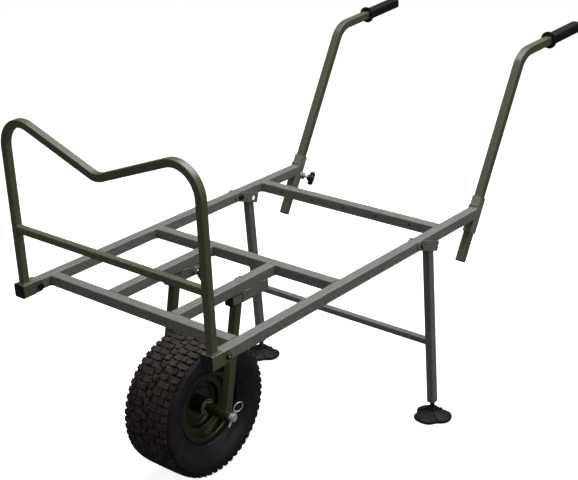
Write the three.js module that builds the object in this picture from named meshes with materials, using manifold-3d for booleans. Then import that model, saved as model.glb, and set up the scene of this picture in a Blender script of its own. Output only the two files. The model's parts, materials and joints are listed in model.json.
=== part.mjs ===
// Fishing barrow: a square-tube deck with a folding load bar over its front end, one wide wheel
// in a plug-in fork under it, folding rear legs on ball feet and two pull-out handles.
// Millimetres, +Z up, the wheel end toward -Y, left is +X. The origin is the middle of the
// ground under the barrow. The pieces are laid out on the deck: y runs back from the front face
// of the front crossbar and z up from the top of the deck.

import * as THREE from 'three';
import { mergeVertices } from 'three/addons/utils/BufferGeometryUtils.js';
import Module from 'manifold-3d';

const wasm = await Module();
wasm.setup();

// Square tubes: outer side and wall
const frameTube = 25;
const frameWall = 2;
const lightTube = 20;
const lightWall = 1.6;
const braceTube = 16;
const braceWall = 1.5;
const cornerRounding = 2.2;

// Gaps between pieces
const weldGap = 0.3;
const seatGap = 0.3;
const slideGap = 0.5;
const overrun = 2;

// Deck
const railSpacing = 569;
const innerRailSpacing = 190;
const railNose = 45.5;
const middleBarPlace = 332.5;
const rearBarPlace = 720.8;
const rodHoleSpacing = 101;
const rodHoleRadius = 3.5;
const rodHoleCount = 5;

// Handle sleeves, handles and grips
const sleevePlace = 884.4;
const handleLean = THREE.MathUtils.degToRad(30);
const sleeveBelow = 53;
const sleeveAbove = 38;
const sleeveKnobDrop = 13.5;
const sleeveKnobTurn = THREE.MathUtils.degToRad(45);
const handleBelow = 125.5;
const handleReach = 408.5;
const handleBend = 60;
const handleSplay = THREE.MathUtils.degToRad(1.7);
const gripRise = THREE.MathUtils.degToRad(3.1);
const gripSetback = 126;
const gripLength = 144;
const gripWidth = 29;
const gripHeight = 26;
const gripFlangeRadius = 22;
const gripFlangeThickness = 3.5;
const gripEndWall = 5;
const gripChamfer = 3;

// Clamp knobs and their weld nuts
const studRadius = 4;
const studLength = 25;
const nutRadius = 10;
const nutLength = 8;
const knobRadius = 20;
const knobThickness = 12;
const knobLobes = 6;
const knobLobeDepth = 3.4;
const knobHubRadius = 8;
const knobHubLength = 6;
const knobBevel = 1.5;

// Load bar over the front end
const hoopTube = 17.5;
const hoopWall = 1.5;
const hoopPlace = -62.5;
const hoopShoulder = 407.9;
const hoopDip = 102.4;
const hoopBend = 62.5;
const hoopDipBend = 50;
const hoopBarHeight = 133;
const baseWall = 2.7;
const baseFront = -78;
const basePivot = -33;
const cheekBehindPivot = 8;
const capHead = 2;
const capDepth = 12;

// Pivot bolts
const boltRadius = 4;
const boltHeadRadius = 7;
const boltHeadHeight = 4.4;
const boltNutRadius = 7.5;
const boltNutHeight = 6.5;

// Rear legs
const legPivot = 634;
const bracketSlope = THREE.MathUtils.degToRad(19.5);
const bracketHeight = 24.4;
const bracketCheek = 3.2;
const bracketWeb = 4;
const bracketNose = 16.5;
const bracketTail = 70;
const bracketHole = 54;
const bracketHoleRadius = 6;
const legLean = THREE.MathUtils.degToRad(2.86);
const legSetback = 44.2;
const legLength = 448;
const legBraceDrop = 279.5;

// Ball feet
const footRadius = 48.5;
const footHeight = 30;
const footBallHeight = 24;
const ballRadius = 10;
const stemRadius = 6;
const stemLength = 25;
const stemFlange = 2;
const stemPlugDepth = 25;

// Fork
const receiverPlace = 223;
const receiverLength = 84;
const receiverKnobPlace = 46;
const armNose = 31;
const armInReceiver = 82;
const armCapSide = 24;
const armCapHead = 3;
const forkLean = THREE.MathUtils.degToRad(12.4);
const forkSleeveRadius = 12.7;
const forkSleeveReach = 7.5;

// Axle and its pin
const axlePlace = 155.5;
const axleDrop = 305.8;
const axleRadius = 9.5;
const axleOverhang = 10.5;
const axleHeadRadius = 14;
const axleHeadLength = 5;
const pinLean = THREE.MathUtils.degToRad(-38);
const pinRadius = 2.2;
const pinInset = 6;
const pinTail = 15;
const pinHeadRadius = 4;
const pinHeadLength = 7;
const ringRadius = 12.8;
const ringWire = 1.3;
const ringTilt = THREE.MathUtils.degToRad(14);

// Wheel
const tyreRadius = 163;
const tyreHalfWidth = 70;
const tyreBulgeRadius = 132;
const lugHeight = 6;
const lugRows = 5;
const lugsAround = 24;
const lugWidth = 19;
const lugLength = 26;
const lugRowSpacing = 24.5;
const tyreWall = 8;
const rimRadius = 85.5;
const rimHalfWidth = 42.7;
const rimFlange = 2.5;
const beadSeatRadius = 77;
const beadWidth = 10;
const rimWall = 2.8;
const discRadius = 56;
const discHalfThickness = 6;
const hubRadius = 21;
const hubHalfLength = 38.5;
const hubBoreRadius = 10;
const bearingRadius = 18.5;
const bearingLength = 12;
const bearingRaceDepth = 1.2;
const valveRadius = 4;
const valveLength = 24;

// What follows from the sizes above
const railX = railSpacing / 2;
const innerRailX = innerRailSpacing / 2;
const forkX = innerRailX;
const railMiddle = -frameTube / 2;
const railReach = frameTube / 2 + weldGap;
const sides = [['left', 1], ['right', -1]];
const segmentsAround = 16;
const holeSegments = 12;
const wheelSegments = 32;

// Adds a named piece to a group
function piece(group, name, geometry, colour, roughness, metalness) {
  const material = new THREE.MeshStandardMaterial({ color: colour, roughness, metalness });
  const mesh = new THREE.Mesh(outward(geometry), material);
  mesh.name = name;
  group.add(mesh);
  return mesh;
}

const framePaint = (group, name, geometry) => piece(group, name, geometry, 0x74776a, 0.45, 0.3);
const barPaint = (group, name, geometry) => piece(group, name, geometry, 0x565c3c, 0.35, 0.3);
const rimPaint = (group, name, geometry) => piece(group, name, geometry, 0x34381f, 0.3, 0.3);
const blackPlastic = (group, name, geometry) => piece(group, name, geometry, 0x1a1a1b, 0.5, 0);
const blackRubber = (group, name, geometry) => piece(group, name, geometry, 0x161616, 0.8, 0);
const tyreRubber = (group, name, geometry) => piece(group, name, geometry, 0x2a2521, 0.85, 0);
const brightSteel = (group, name, geometry) => piece(group, name, geometry, 0xb9bab6, 0.3, 0.9);
const blackSteel = (group, name, geometry) => piece(group, name, geometry, 0x222224, 0.4, 0.6);

// Turns a mesh's faces outward
function outward(geometry) {
  const bare = geometry.clone();
  bare.deleteAttribute('normal');
  bare.deleteAttribute('uv');
  const merged = mergeVertices(bare);
  const place = merged.attributes.position;
  const corner = (i) => new THREE.Vector3().fromBufferAttribute(place, merged.index.getX(i));
  let volume = 0;
  for (let i = 0; i < merged.index.count; i += 3) {
    volume += corner(i).dot(corner(i + 1).cross(corner(i + 2)));
  }
  if (volume < 0) {
    for (let i = 0; i < merged.index.count; i += 3) {
      const second = merged.index.getX(i + 1);
      merged.index.setX(i + 1, merged.index.getX(i + 2));
      merged.index.setX(i + 2, second);
    }
  }
  merged.computeVertexNormals();
  return merged;
}

// Joins and cuts closed meshes
function toSolid(geometry) {
  const closed = outward(geometry);
  return new wasm.Manifold(new wasm.Mesh({
    numProp: 3,
    vertProperties: Float32Array.from(closed.attributes.position.array),
    triVerts: Uint32Array.from(closed.index.array),
  }));
}

function toGeometry(solid) {
  const mesh = solid.getMesh();
  const geometry = new THREE.BufferGeometry();
  geometry.setAttribute('position', new THREE.BufferAttribute(mesh.vertProperties, 3));
  geometry.setIndex(new THREE.BufferAttribute(mesh.triVerts, 1));
  return geometry;
}

function joined(first, ...others) {
  let solid = toSolid(first);
  for (const other of others) {
    solid = solid.add(toSolid(other));
  }
  return toGeometry(solid);
}

function cut(first, ...tools) {
  let solid = toSolid(first);
  for (const tool of tools) {
    solid = solid.subtract(toSolid(tool));
  }
  return toGeometry(solid);
}

// Closed shapes, centred on their own middle, that run along an axis
function toAxis(geometry, axis) {
  if (axis === 'x') {
    geometry.rotateY(Math.PI / 2);
  }
  if (axis === 'y') {
    geometry.rotateX(-Math.PI / 2);
  }
  return geometry;
}

function rod(axis, radius, length, segments = segmentsAround) {
  const geometry = new THREE.CylinderGeometry(radius, radius, length, segments);
  return toAxis(geometry.rotateX(Math.PI / 2), axis);
}

function roundedRectangle(width, height, radius) {
  const x = width / 2 - radius;
  const y = height / 2 - radius;
  const outline = new THREE.Shape();
  outline.absarc(x, y, radius, 0, Math.PI / 2);
  outline.absarc(-x, y, radius, Math.PI / 2, Math.PI);
  outline.absarc(-x, -y, radius, Math.PI, 1.5 * Math.PI);
  outline.absarc(x, -y, radius, 1.5 * Math.PI, 2 * Math.PI);
  return outline;
}

function squarePath(side) {
  const half = side / 2;
  const path = new THREE.Path();
  path.moveTo(-half, -half);
  path.lineTo(-half, half);
  path.lineTo(half, half);
  path.lineTo(half, -half);
  path.closePath();
  return path;
}

function tubeSection(side, wall) {
  const section = roundedRectangle(side, side, cornerRounding);
  section.holes.push(squarePath(side - 2 * wall));
  return section;
}

function prism(axis, outline, length, curveSegments = 1) {
  const settings = { depth: length, bevelEnabled: false, curveSegments };
  const geometry = new THREE.ExtrudeGeometry(outline, settings);
  return toAxis(geometry.translate(0, 0, -length / 2), axis);
}

const squareTube = (axis, side, wall, length) => prism(axis, tubeSection(side, wall), length);

function squareBar(axis, side, length) {
  return prism(axis, roundedRectangle(side, side, cornerRounding), length);
}

// Shifts one end of a shape so that it follows a slanted neighbour
function slanted(geometry, alongAxis, acrossAxis, end, slope) {
  const place = geometry.attributes.position;
  const along = 'xyz'.indexOf(alongAxis);
  const across = 'xyz'.indexOf(acrossAxis);
  for (let i = 0; i < place.count; i += 1) {
    const here = place.getComponent(i, along);
    if (here * end > 0) {
      place.setComponent(i, along, here + slope * place.getComponent(i, across));
    }
  }
  return geometry;
}

// The centre line of a bent tube: straight runs between corners, with an arc at each corner
class BentPath extends THREE.Curve {
  constructor(corners, radii, steps) {
    super();
    const last = corners.length - 1;
    const heading = (i) => corners[i + 1].clone().sub(corners[i]).normalize();
    this.stations = [{ point: corners[0], tangent: heading(0) }];
    for (let i = 1; i < last; i += 1) {
      const before = heading(i - 1);
      const after = heading(i);
      const turn = before.angleTo(after);
      const axis = before.clone().cross(after).normalize();
      const radius = radii[i - 1];
      const toCentre = (tangent) => axis.clone().cross(tangent).multiplyScalar(radius);
      const start = corners[i].clone().addScaledVector(before, -radius * Math.tan(turn / 2));
      const centre = start.clone().add(toCentre(before));
      for (let k = 0; k <= steps; k += 1) {
        const tangent = before.clone().applyAxisAngle(axis, (turn * k) / steps);
        this.stations.push({ point: centre.clone().sub(toCentre(tangent)), tangent });
      }
    }
    this.stations.push({ point: corners[last], tangent: heading(last - 1) });
  }

  station(u) {
    return this.stations[Math.round(u * (this.stations.length - 1))];
  }

  getPointAt(u) {
    return this.station(u).point.clone();
  }

  getTangentAt(u) {
    return this.station(u).tangent.clone();
  }
}

function bentTube(side, wall, corners, radii, steps) {
  const extrudePath = new BentPath(corners, radii, steps);
  return new THREE.ExtrudeGeometry(tubeSection(side, wall), {
    steps: extrudePath.stations.length - 1,
    curveSegments: 1,
    extrudePath,
  });
}

// A closed outline of radius and height pairs, turned about an axis
function turned(axis, outline, segments = segmentsAround) {
  const points = outline.map(([radius, height]) => new THREE.Vector2(radius, height));
  return toAxis(new THREE.LatheGeometry(points, segments).rotateX(Math.PI / 2), axis);
}

// Pivot bolt through a bracket, with its head outboard and its nut inboard
function pivotBolt(outboard, gripHalfWidth) {
  const faceDistance = gripHalfWidth + seatGap;
  const length = 2 * (faceDistance + overrun);
  const head = rod('x', boltHeadRadius, boltHeadHeight);
  head.translate(outboard * (faceDistance + boltHeadHeight / 2), 0, 0);
  const nut = rod('x', boltNutRadius, boltNutHeight, 6);
  nut.translate(-outboard * (faceDistance + boltNutHeight / 2), 0, 0);
  return joined(rod('x', boltRadius, length), head, nut);
}

const boltHole = (length) => rod('x', boltRadius + seatGap, length, holeSegments);

// Distance from a square tube's middle to its rounded corner
const cornerReach = (side) => (side / 2 - cornerRounding) * Math.SQRT2 + cornerRounding;

// Turn about +Z that points +X inboard, and part of the way round to +Y
const inboardTurn = (outboard, turn) => (outboard > 0 ? Math.PI - turn : turn);

// Weld nut on a frame tube, bored for the clamp stud together with the tube wall
function withWeldNut(tube, tubeAxis, face, turn, place) {
  const reach = face + nutLength;
  const nut = rod('x', nutRadius, reach, 6).translate(reach / 2, 0, 0).rotateZ(turn);
  const insideSide = frameTube - frameWall;
  const insideLength = 2 * (nutRadius + overrun);
  const inside = toAxis(new THREE.BoxGeometry(insideSide, insideSide, insideLength), tubeAxis);
  const bore = rod('x', studRadius + seatGap, reach + overrun).translate((reach + overrun) / 2, 0, 0);
  const saddle = cut(nut, inside).translate(...place);
  return cut(joined(tube, saddle), bore.rotateZ(turn).translate(...place));
}

// Star knob with its hub and threaded stud, which runs along +X from its tip at the origin
function clampKnob() {
  const lobes = new THREE.Shape();
  const pointsPerLobe = 4;
  const count = knobLobes * pointsPerLobe;
  for (let i = 0; i < count; i += 1) {
    const angle = (2 * Math.PI * i) / count;
    const swell = (1 + Math.cos(knobLobes * angle)) / 2;
    const radius = knobRadius - knobBevel - knobLobeDepth * (1 - Math.sqrt(swell));
    const point = [radius * Math.cos(angle), radius * Math.sin(angle)];
    if (i === 0) {
      lobes.moveTo(...point);
    } else {
      lobes.lineTo(...point);
    }
  }
  const head = new THREE.ExtrudeGeometry(lobes, {
    depth: knobThickness - 2 * knobBevel,
    bevelThickness: knobBevel,
    bevelSize: knobBevel,
    bevelSegments: 1,
  });
  head.translate(0, 0, knobBevel);
  const hub = rod('z', knobHubRadius, knobHubLength + overrun);
  hub.translate(0, 0, (overrun - knobHubLength) / 2);
  const stud = rod('z', studRadius, studLength + overrun);
  stud.translate(0, 0, -(studLength + overrun) / 2 + overrun);
  return toAxis(joined(head, hub, stud).translate(0, 0, studLength), 'x');
}

// Plastic plug with a head in the end of a square tube; its head's outer face is at the origin
// and the plug points along +Z
function endPlug(headSide, headHeight, bore, depth) {
  const head = squareBar('z', headSide, headHeight).translate(0, 0, headHeight / 2);
  const plugSide = bore - 2 * seatGap;
  const plug = new THREE.BoxGeometry(plugSide, plugSide, depth + headHeight / 2);
  plug.translate(0, 0, (depth + headHeight / 2) / 2 + headHeight / 2);
  return joined(head, plug);
}

// Deck frame
const deck = new THREE.Group();

function sideRail(group, name, outboard) {
  const end = sleevePlace - railReach / Math.cos(handleLean);
  const length = end + railNose;
  const middle = end - length / 2;
  const rail = squareTube('y', frameTube, frameWall, length);
  slanted(rail, 'y', 'z', 1, Math.tan(handleLean));
  const hole = (place) => boltHole(2 * frameTube).translate(0, place - middle, 0);
  const mesh = framePaint(group, `side_rail_${name}`, cut(rail, hole(basePivot), hole(legPivot)));
  mesh.position.set(outboard * railX, middle, railMiddle);
}

function crossbar(group, name, place, geometry) {
  const mesh = framePaint(group, name, geometry);
  mesh.position.set(0, place + frameTube / 2, railMiddle);
}

function deckCrossbars(group) {
  const length = 2 * (railX - railReach);
  const bar = () => squareTube('x', frameTube, frameWall, length);
  crossbar(group, 'front_crossbar', 0, bar());
  crossbar(group, 'middle_crossbar', middleBarPlace, bar());
  const holes = [];
  for (let i = 0; i < rodHoleCount; i += 1) {
    const hole = rod('y', rodHoleRadius, frameTube, holeSegments);
    holes.push(hole.translate((i - (rodHoleCount - 1) / 2) * rodHoleSpacing, -frameTube / 2, 0));
  }
  crossbar(group, 'rear_crossbar', rearBarPlace, cut(bar(), ...holes));
}

function innerRail(group, name, outboard) {
  const front = frameTube + weldGap;
  const back = middleBarPlace - weldGap;
  const rail = squareTube('y', frameTube, frameWall, back - front);
  const mesh = framePaint(group, `inner_rail_${name}`, rail);
  mesh.position.set(outboard * innerRailX, (front + back) / 2, railMiddle);
}

// Handle sleeve, welded across the rail's slanted end; its group's +Z runs up the handle
function leaningGroup(parent, name, outboard) {
  const group = new THREE.Group();
  group.position.set(outboard * railX, sleevePlace, railMiddle);
  group.rotation.x = -handleLean;
  parent.add(group);
  return group;
}

function handleSleeve(group, name, outboard) {
  const length = sleeveBelow + sleeveAbove;
  const tube = squareTube('z', frameTube, frameWall, length);
  const middle = (sleeveAbove - sleeveBelow) / 2;
  const turn = inboardTurn(outboard, sleeveKnobTurn);
  const sleeve = withWeldNut(tube, 'z', cornerReach(frameTube), turn, [0, 0, -sleeveKnobDrop - middle]);
  const mesh = framePaint(group, `handle_sleeve_${name}`, sleeve);
  mesh.position.z = middle;
}

// Fork receiver under each inner rail
const receiverDrop = -(frameTube + weldGap + frameTube / 2);

function forkReceiver(group, name, outboard) {
  const tube = squareTube('y', frameTube, frameWall, receiverLength);
  const nutPlace = [0, receiverKnobPlace - receiverLength / 2, 0];
  const receiver = withWeldNut(tube, 'y', frameTube / 2, inboardTurn(outboard, 0), nutPlace);
  const mesh = framePaint(group, `fork_receiver_${name}`, receiver);
  mesh.position.set(outboard * forkX, receiverPlace + receiverLength / 2, receiverDrop);
}

deckCrossbars(deck);
for (const [name, outboard] of sides) {
  sideRail(deck, name, outboard);
  innerRail(deck, name, outboard);
  handleSleeve(leaningGroup(deck, name, outboard), name, outboard);
  forkReceiver(deck, name, outboard);
}

// Load bar: its group's origin is the pivot line through both base blocks
const baseSide = frameTube + 2 * (seatGap + baseWall);
const loadBar = new THREE.Group();
loadBar.position.set(0, basePivot, railMiddle);
deck.add(loadBar);

function loadBarBase(group, name, outboard) {
  const front = baseFront - basePivot;
  const length = cheekBehindPivot - front;
  const block = squareTube('y', baseSide, baseWall, length).translate(0, front + length / 2, 0);
  const wallsEnd = -railNose - seatGap - basePivot;
  const slotLength = cheekBehindPivot - wallsEnd + overrun;
  const slot = new THREE.BoxGeometry(frameTube + 2 * seatGap, slotLength, baseSide + 2 * overrun);
  slot.translate(0, wallsEnd + slotLength / 2, 0);
  const mesh = barPaint(group, `load_bar_base_${name}`, cut(block, slot, boltHole(2 * baseSide)));
  mesh.position.x = outboard * railX;
  const cap = endPlug(baseSide, capHead, baseSide - 2 * baseWall, capDepth);
  const capMesh = blackPlastic(group, `load_bar_cap_${name}`, toAxis(cap, 'y'));
  capMesh.position.set(outboard * railX, front - seatGap - capHead, 0);
}

function hoop(group) {
  const foot = baseSide / 2 + weldGap;
  const shoulder = hoopShoulder - railMiddle;
  const corners = [
    new THREE.Vector3(railX, 0, foot),
    new THREE.Vector3(railX, 0, shoulder),
    new THREE.Vector3(0, 0, shoulder - hoopDip),
    new THREE.Vector3(-railX, 0, shoulder),
    new THREE.Vector3(-railX, 0, foot),
  ];
  const tube = bentTube(hoopTube, hoopWall, corners, [hoopBend, hoopDipBend, hoopBend], 6);
  const mesh = barPaint(group, 'load_bar_hoop', tube);
  mesh.position.y = hoopPlace - basePivot;
  const barLength = 2 * (railX - hoopTube / 2 - weldGap);
  const bar = barPaint(group, 'load_bar_crossbar', squareTube('x', braceTube, braceWall, barLength));
  bar.position.set(0, hoopPlace - basePivot, hoopBarHeight - railMiddle);
}

hoop(loadBar);
for (const [name, outboard] of sides) {
  loadBarBase(loadBar, name, outboard);
  const bolt = blackSteel(deck, `load_bar_bolt_${name}`, pivotBolt(outboard, baseSide / 2));
  bolt.position.set(outboard * railX, basePivot, railMiddle);
}

// Rear legs: the group's origin is the pivot line through both brackets
const bracketHalfWidth = frameTube / 2 + seatGap + bracketCheek;
const legs = new THREE.Group();
legs.position.set(0, legPivot, railMiddle);
deck.add(legs);

function bracketCheekOutline() {
  const half = bracketHeight / 2;
  const nose = bracketNose - half;
  const outline = new THREE.Shape();
  outline.moveTo(bracketTail, -half);
  outline.lineTo(bracketTail, half);
  outline.lineTo(-nose, half);
  outline.absarc(-nose, 0, half, Math.PI / 2, 1.5 * Math.PI);
  return outline;
}

// Channel bracket: two cheeks beside the rail joined by a web that starts behind the pivot, where
// its front edge meets the underside of the rail
function legBracket(group, name, outboard) {
  const cheek = (side) => {
    const plate = prism('z', bracketCheekOutline(), bracketCheek, 6);
    plate.rotateY(Math.PI / 2).rotateX(Math.PI / 2);
    return plate.translate(side * (bracketHalfWidth - bracketCheek / 2), 0, 0);
  };
  const webTop = bracketWeb - bracketHeight / 2;
  const webDrop = frameTube / 2 + seatGap + webTop * Math.cos(bracketSlope);
  const webStart = webDrop / Math.sin(bracketSlope);
  const webLength = bracketTail - webStart;
  const web = new THREE.BoxGeometry(2 * bracketHalfWidth - bracketCheek, webLength, bracketWeb);
  web.translate(0, webStart + webLength / 2, webTop - bracketWeb / 2);
  const lockHole = rod('x', bracketHoleRadius, 2 * bracketCheek);
  lockHole.translate(-outboard * (bracketHalfWidth - bracketCheek / 2), bracketHole, 0);
  const channel = joined(cheek(1), cheek(-1), web);
  const bracket = cut(channel, lockHole, boltHole(2 * frameTube)).rotateX(-bracketSlope);
  const mesh = framePaint(group, `leg_bracket_${name}`, bracket);
  mesh.position.x = outboard * railX;
}

// Leg group: its +Z runs up the leg, and it crosses the pivot line's height at its origin
function legTube(group, name) {
  const drop = bracketHeight / 2 + weldGap + legSetback * Math.sin(bracketSlope);
  const slant = bracketSlope + legLean;
  const top = -drop / Math.cos(slant);
  const bottom = -legLength;
  const length = top - bottom;
  const tube = squareTube('z', lightTube, lightWall, length);
  slanted(tube, 'z', 'y', 1, -Math.tan(slant));
  const mesh = framePaint(group, `leg_tube_${name}`, tube);
  mesh.position.z = (top + bottom) / 2;
}

// Threaded foot stem: its plug is in the leg's end and its ball in the foot; the origin is the
// ball's centre
function footStem(group, name) {
  const stemTop = stemLength - seatGap - stemFlange;
  const flange = squareBar('z', lightTube, stemFlange).translate(0, 0, stemTop + stemFlange / 2);
  const plugSide = lightTube - 2 * (lightWall + seatGap);
  const plugLength = stemPlugDepth + stemFlange / 2;
  const plug = new THREE.BoxGeometry(plugSide, plugSide, plugLength);
  plug.translate(0, 0, stemTop + stemFlange / 2 + plugLength / 2);
  const stem = rod('z', stemRadius, stemTop + overrun).translate(0, 0, (stemTop + overrun) / 2);
  const ball = new THREE.SphereGeometry(ballRadius, segmentsAround, 8).rotateX(Math.PI / 2);
  const mesh = blackPlastic(group, `foot_stem_${name}`, joined(flange, plug, stem, ball));
  mesh.position.z = -legLength - stemLength;
}

// Foot outline from the middle of the sole out to the rim and up the cone to the socket's mouth
const footOutline_shares = [
  [0, 0], [0.93, 0], [1, 0.13], [1, 0.36], [0.94, 0.46], [0.4, 0.83], [0.27, 1],
];

function footPad(group, name) {
  const socketRadius = ballRadius + seatGap;
  const mouth = footHeight - footBallHeight;
  const mouthAngle = Math.asin(mouth / socketRadius);
  const outline = footOutline_shares.map(([r, h]) => [r * footRadius, h * footHeight - footBallHeight]);
  const steps = 7;
  for (let i = 0; i <= steps; i += 1) {
    const angle = mouthAngle - ((mouthAngle + Math.PI / 2) * i) / steps;
    const radius = i === steps ? 0 : socketRadius * Math.cos(angle);
    outline.push([radius, socketRadius * Math.sin(angle)]);
  }
  return blackRubber(group, `foot_${name}`, turned('z', outline, 24));
}

for (const [name, outboard] of sides) {
  legBracket(legs, name, outboard);
  const leg = new THREE.Group();
  leg.position.set(outboard * railX, legSetback, 0);
  leg.rotation.x = legLean;
  legs.add(leg);
  legTube(leg, name);
  footStem(leg, name);
  const bolt = blackSteel(deck, `leg_bolt_${name}`, pivotBolt(outboard, bracketHalfWidth));
  bolt.position.set(outboard * railX, legPivot, railMiddle);
}
const legBraceLength = 2 * (railX - lightTube / 2 - weldGap);
const legBrace = framePaint(legs, 'leg_brace', squareTube('x', braceTube, braceWall, legBraceLength));
legBrace.position.set(0, legSetback + legBraceDrop * Math.tan(legLean), -legBraceDrop);
legBrace.rotation.x = legLean;

// Fork: its group's origin is the middle of the arms' front ends
const fork = new THREE.Group();
const armFront = receiverPlace - armNose;
fork.position.set(0, armFront, receiverDrop);
deck.add(fork);

function forkArm(group, name, outboard) {
  const length = armNose + armInReceiver;
  const mesh = framePaint(group, `fork_arm_${name}`, squareTube('y', lightTube, lightWall, length));
  mesh.position.set(outboard * forkX, length / 2, 0);
  const cap = endPlug(armCapSide, armCapHead, lightTube - 2 * lightWall, capDepth);
  const capMesh = blackPlastic(group, `fork_cap_${name}`, toAxis(cap, 'y'));
  capMesh.position.set(outboard * forkX, -seatGap - armCapHead, 0);
}

// Fork leg from the arm's underside down onto the axle's sleeve; the origin is the axle's centre
const axleFromFork = new THREE.Vector3(0, axlePlace - armFront, -axleDrop - receiverDrop);

function forkLeg(group, name, outboard) {
  const rise = -axleFromFork.z - lightTube / 2 - weldGap;
  const top = rise / Math.cos(forkLean);
  const tube = squareTube('z', lightTube, lightWall, top);
  slanted(tube, 'z', 'y', 1, Math.tan(forkLean));
  tube.translate(0, 0, top / 2);
  const saddle = rod('x', forkSleeveRadius + weldGap, 2 * lightTube);
  const mesh = framePaint(group, `fork_leg_${name}`, cut(tube, saddle));
  mesh.position.set(outboard * forkX, axleFromFork.y, axleFromFork.z);
  mesh.rotation.x = -forkLean;
}

// Axle with its head on the right and a cross hole for the pin at its left end
const sleeveEnd = forkX + lightTube / 2 + forkSleeveReach;
const axleEnd = sleeveEnd + axleOverhang;
const pinPlace = axleEnd - pinInset;

function wheelAxle(group) {
  const headFace = sleeveEnd + seatGap;
  const length = axleEnd + headFace + axleHeadLength / 2;
  const shank = rod('x', axleRadius, length).translate(axleEnd - length / 2, 0, 0);
  const head = rod('x', axleHeadRadius, axleHeadLength, 6);
  head.translate(-headFace - axleHeadLength / 2, 0, 0);
  const hole = rod('z', pinRadius + seatGap, 2 * axleHeadRadius, holeSegments);
  hole.translate(pinPlace, 0, 0).rotateX(pinLean);
  const mesh = brightSteel(group, 'axle', cut(joined(shank, head), hole));
  mesh.position.copy(axleFromFork);
}

// Round sleeve for the axle, under the fork leg and up to the hub
function forkSleeve(group, name, outboard) {
  const inner = hubHalfLength + seatGap;
  const length = sleeveEnd - inner;
  const bore = rod('x', axleRadius + seatGap, length + 2 * overrun);
  const sleeve = cut(rod('x', forkSleeveRadius, length), bore);
  const mesh = framePaint(group, `fork_sleeve_${name}`, sleeve);
  mesh.position.copy(axleFromFork).setX((outboard * (inner + sleeveEnd)) / 2);
}

wheelAxle(fork);
for (const [name, outboard] of sides) {
  forkArm(fork, name, outboard);
  forkLeg(fork, name, outboard);
  forkSleeve(fork, name, outboard);
}

// Pin through the axle's left end, and the ring on its head; the group's +Z runs up the pin
const pin = new THREE.Group();
pin.position.copy(axleFromFork).setX(pinPlace);
pin.rotation.x = pinLean;
fork.add(pin);

function lynchPin(group) {
  const headStart = axleRadius + seatGap;
  const tail = -axleRadius - pinTail;
  const shankLength = headStart + overrun - tail;
  const shank = rod('z', pinRadius, shankLength, holeSegments).translate(0, 0, tail + shankLength / 2);
  const head = rod('z', pinHeadRadius, pinHeadLength).translate(0, 0, headStart + pinHeadLength / 2);
  const eyeHeight = headStart + pinHeadLength / 2;
  const ringSag = ringRadius - Math.sqrt(ringRadius ** 2 - pinHeadRadius ** 2);
  const eye = rod('y', ringWire + ringSag + seatGap, 2 * pinHeadLength).translate(0, 0, eyeHeight);
  brightSteel(group, 'lynch_pin', cut(joined(shank, head), eye));
  const ring = new THREE.TorusGeometry(ringRadius, ringWire, 6, 24).rotateY(Math.PI / 2);
  const ringMesh = brightSteel(group, 'lynch_pin_ring', ring.translate(0, 0, ringRadius));
  ringMesh.position.z = eyeHeight;
  ringMesh.rotation.y = ringTilt;
}

lynchPin(pin);

// Wheel, about the axle
const wheel = new THREE.Group();
wheel.position.copy(fork.position).add(axleFromFork);
deck.add(wheel);

// Half of the rim's section from the hub's seat out to the flange, mirrored for the other half
function rimOutline() {
  const seatInner = rimHalfWidth - rimFlange - beadWidth;
  const flangeInner = rimHalfWidth - rimFlange;
  const hubSeat = hubRadius + seatGap;
  const outside = [
    [hubSeat, discHalfThickness],
    [discRadius - rimWall, discHalfThickness],
    [beadSeatRadius - rimWall, rimHalfWidth - rimFlange],
    [rimRadius - rimFlange, rimHalfWidth],
    [rimRadius, rimHalfWidth],
  ];
  const inside = [
    [rimRadius, flangeInner],
    [beadSeatRadius, flangeInner],
    [beadSeatRadius, seatInner],
    [discRadius + rimWall, discHalfThickness],
  ];
  const half = [...outside, ...inside];
  const mirrored = half.map(([radius, x]) => [radius, -x]).reverse();
  return [...half, ...mirrored, half[0]];
}

const valveSide = -1;
const valvePlace = (beadSeatRadius + discRadius) / 2;

function rim(group) {
  const dish = turned('x', rimOutline(), wheelSegments);
  const hole = rod('x', valveRadius + seatGap, rimHalfWidth);
  hole.translate((valveSide * rimHalfWidth) / 2, 0, valvePlace);
  rimPaint(group, 'rim', cut(dish, hole));
}

function hub(group) {
  const socketDepth = bearingLength + seatGap;
  const shoulder = hubHalfLength - socketDepth;
  const outline = [
    [hubRadius, -hubHalfLength],
    [hubRadius, hubHalfLength],
    [bearingRadius + seatGap, hubHalfLength],
    [bearingRadius + seatGap, shoulder],
    [hubBoreRadius, shoulder],
    [hubBoreRadius, -shoulder],
    [bearingRadius + seatGap, -shoulder],
    [bearingRadius + seatGap, -hubHalfLength],
    [hubRadius, -hubHalfLength],
  ];
  rimPaint(group, 'hub', turned('x', outline, wheelSegments / 2));
}

// Sealed ball bearing with a shallow groove between its races
function bearing(group, name, outboard) {
  const bore = axleRadius + seatGap;
  const band = bearingRadius - bore;
  const race = band / 4;
  const end = bearingLength / 2;
  const outline = [
    [bore, -end],
    [bearingRadius, -end],
    [bearingRadius, end],
    [bearingRadius - race, end],
    [bearingRadius - race, end - bearingRaceDepth],
    [bore + race, end - bearingRaceDepth],
    [bore + race, end],
    [bore, end],
    [bore, -end],
  ];
  const ring = turned('x', outline, wheelSegments / 2);
  const mesh = brightSteel(group, `bearing_${name}`, outboard > 0 ? ring : ring.rotateY(Math.PI));
  mesh.position.x = outboard * (hubHalfLength - end);
}

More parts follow.
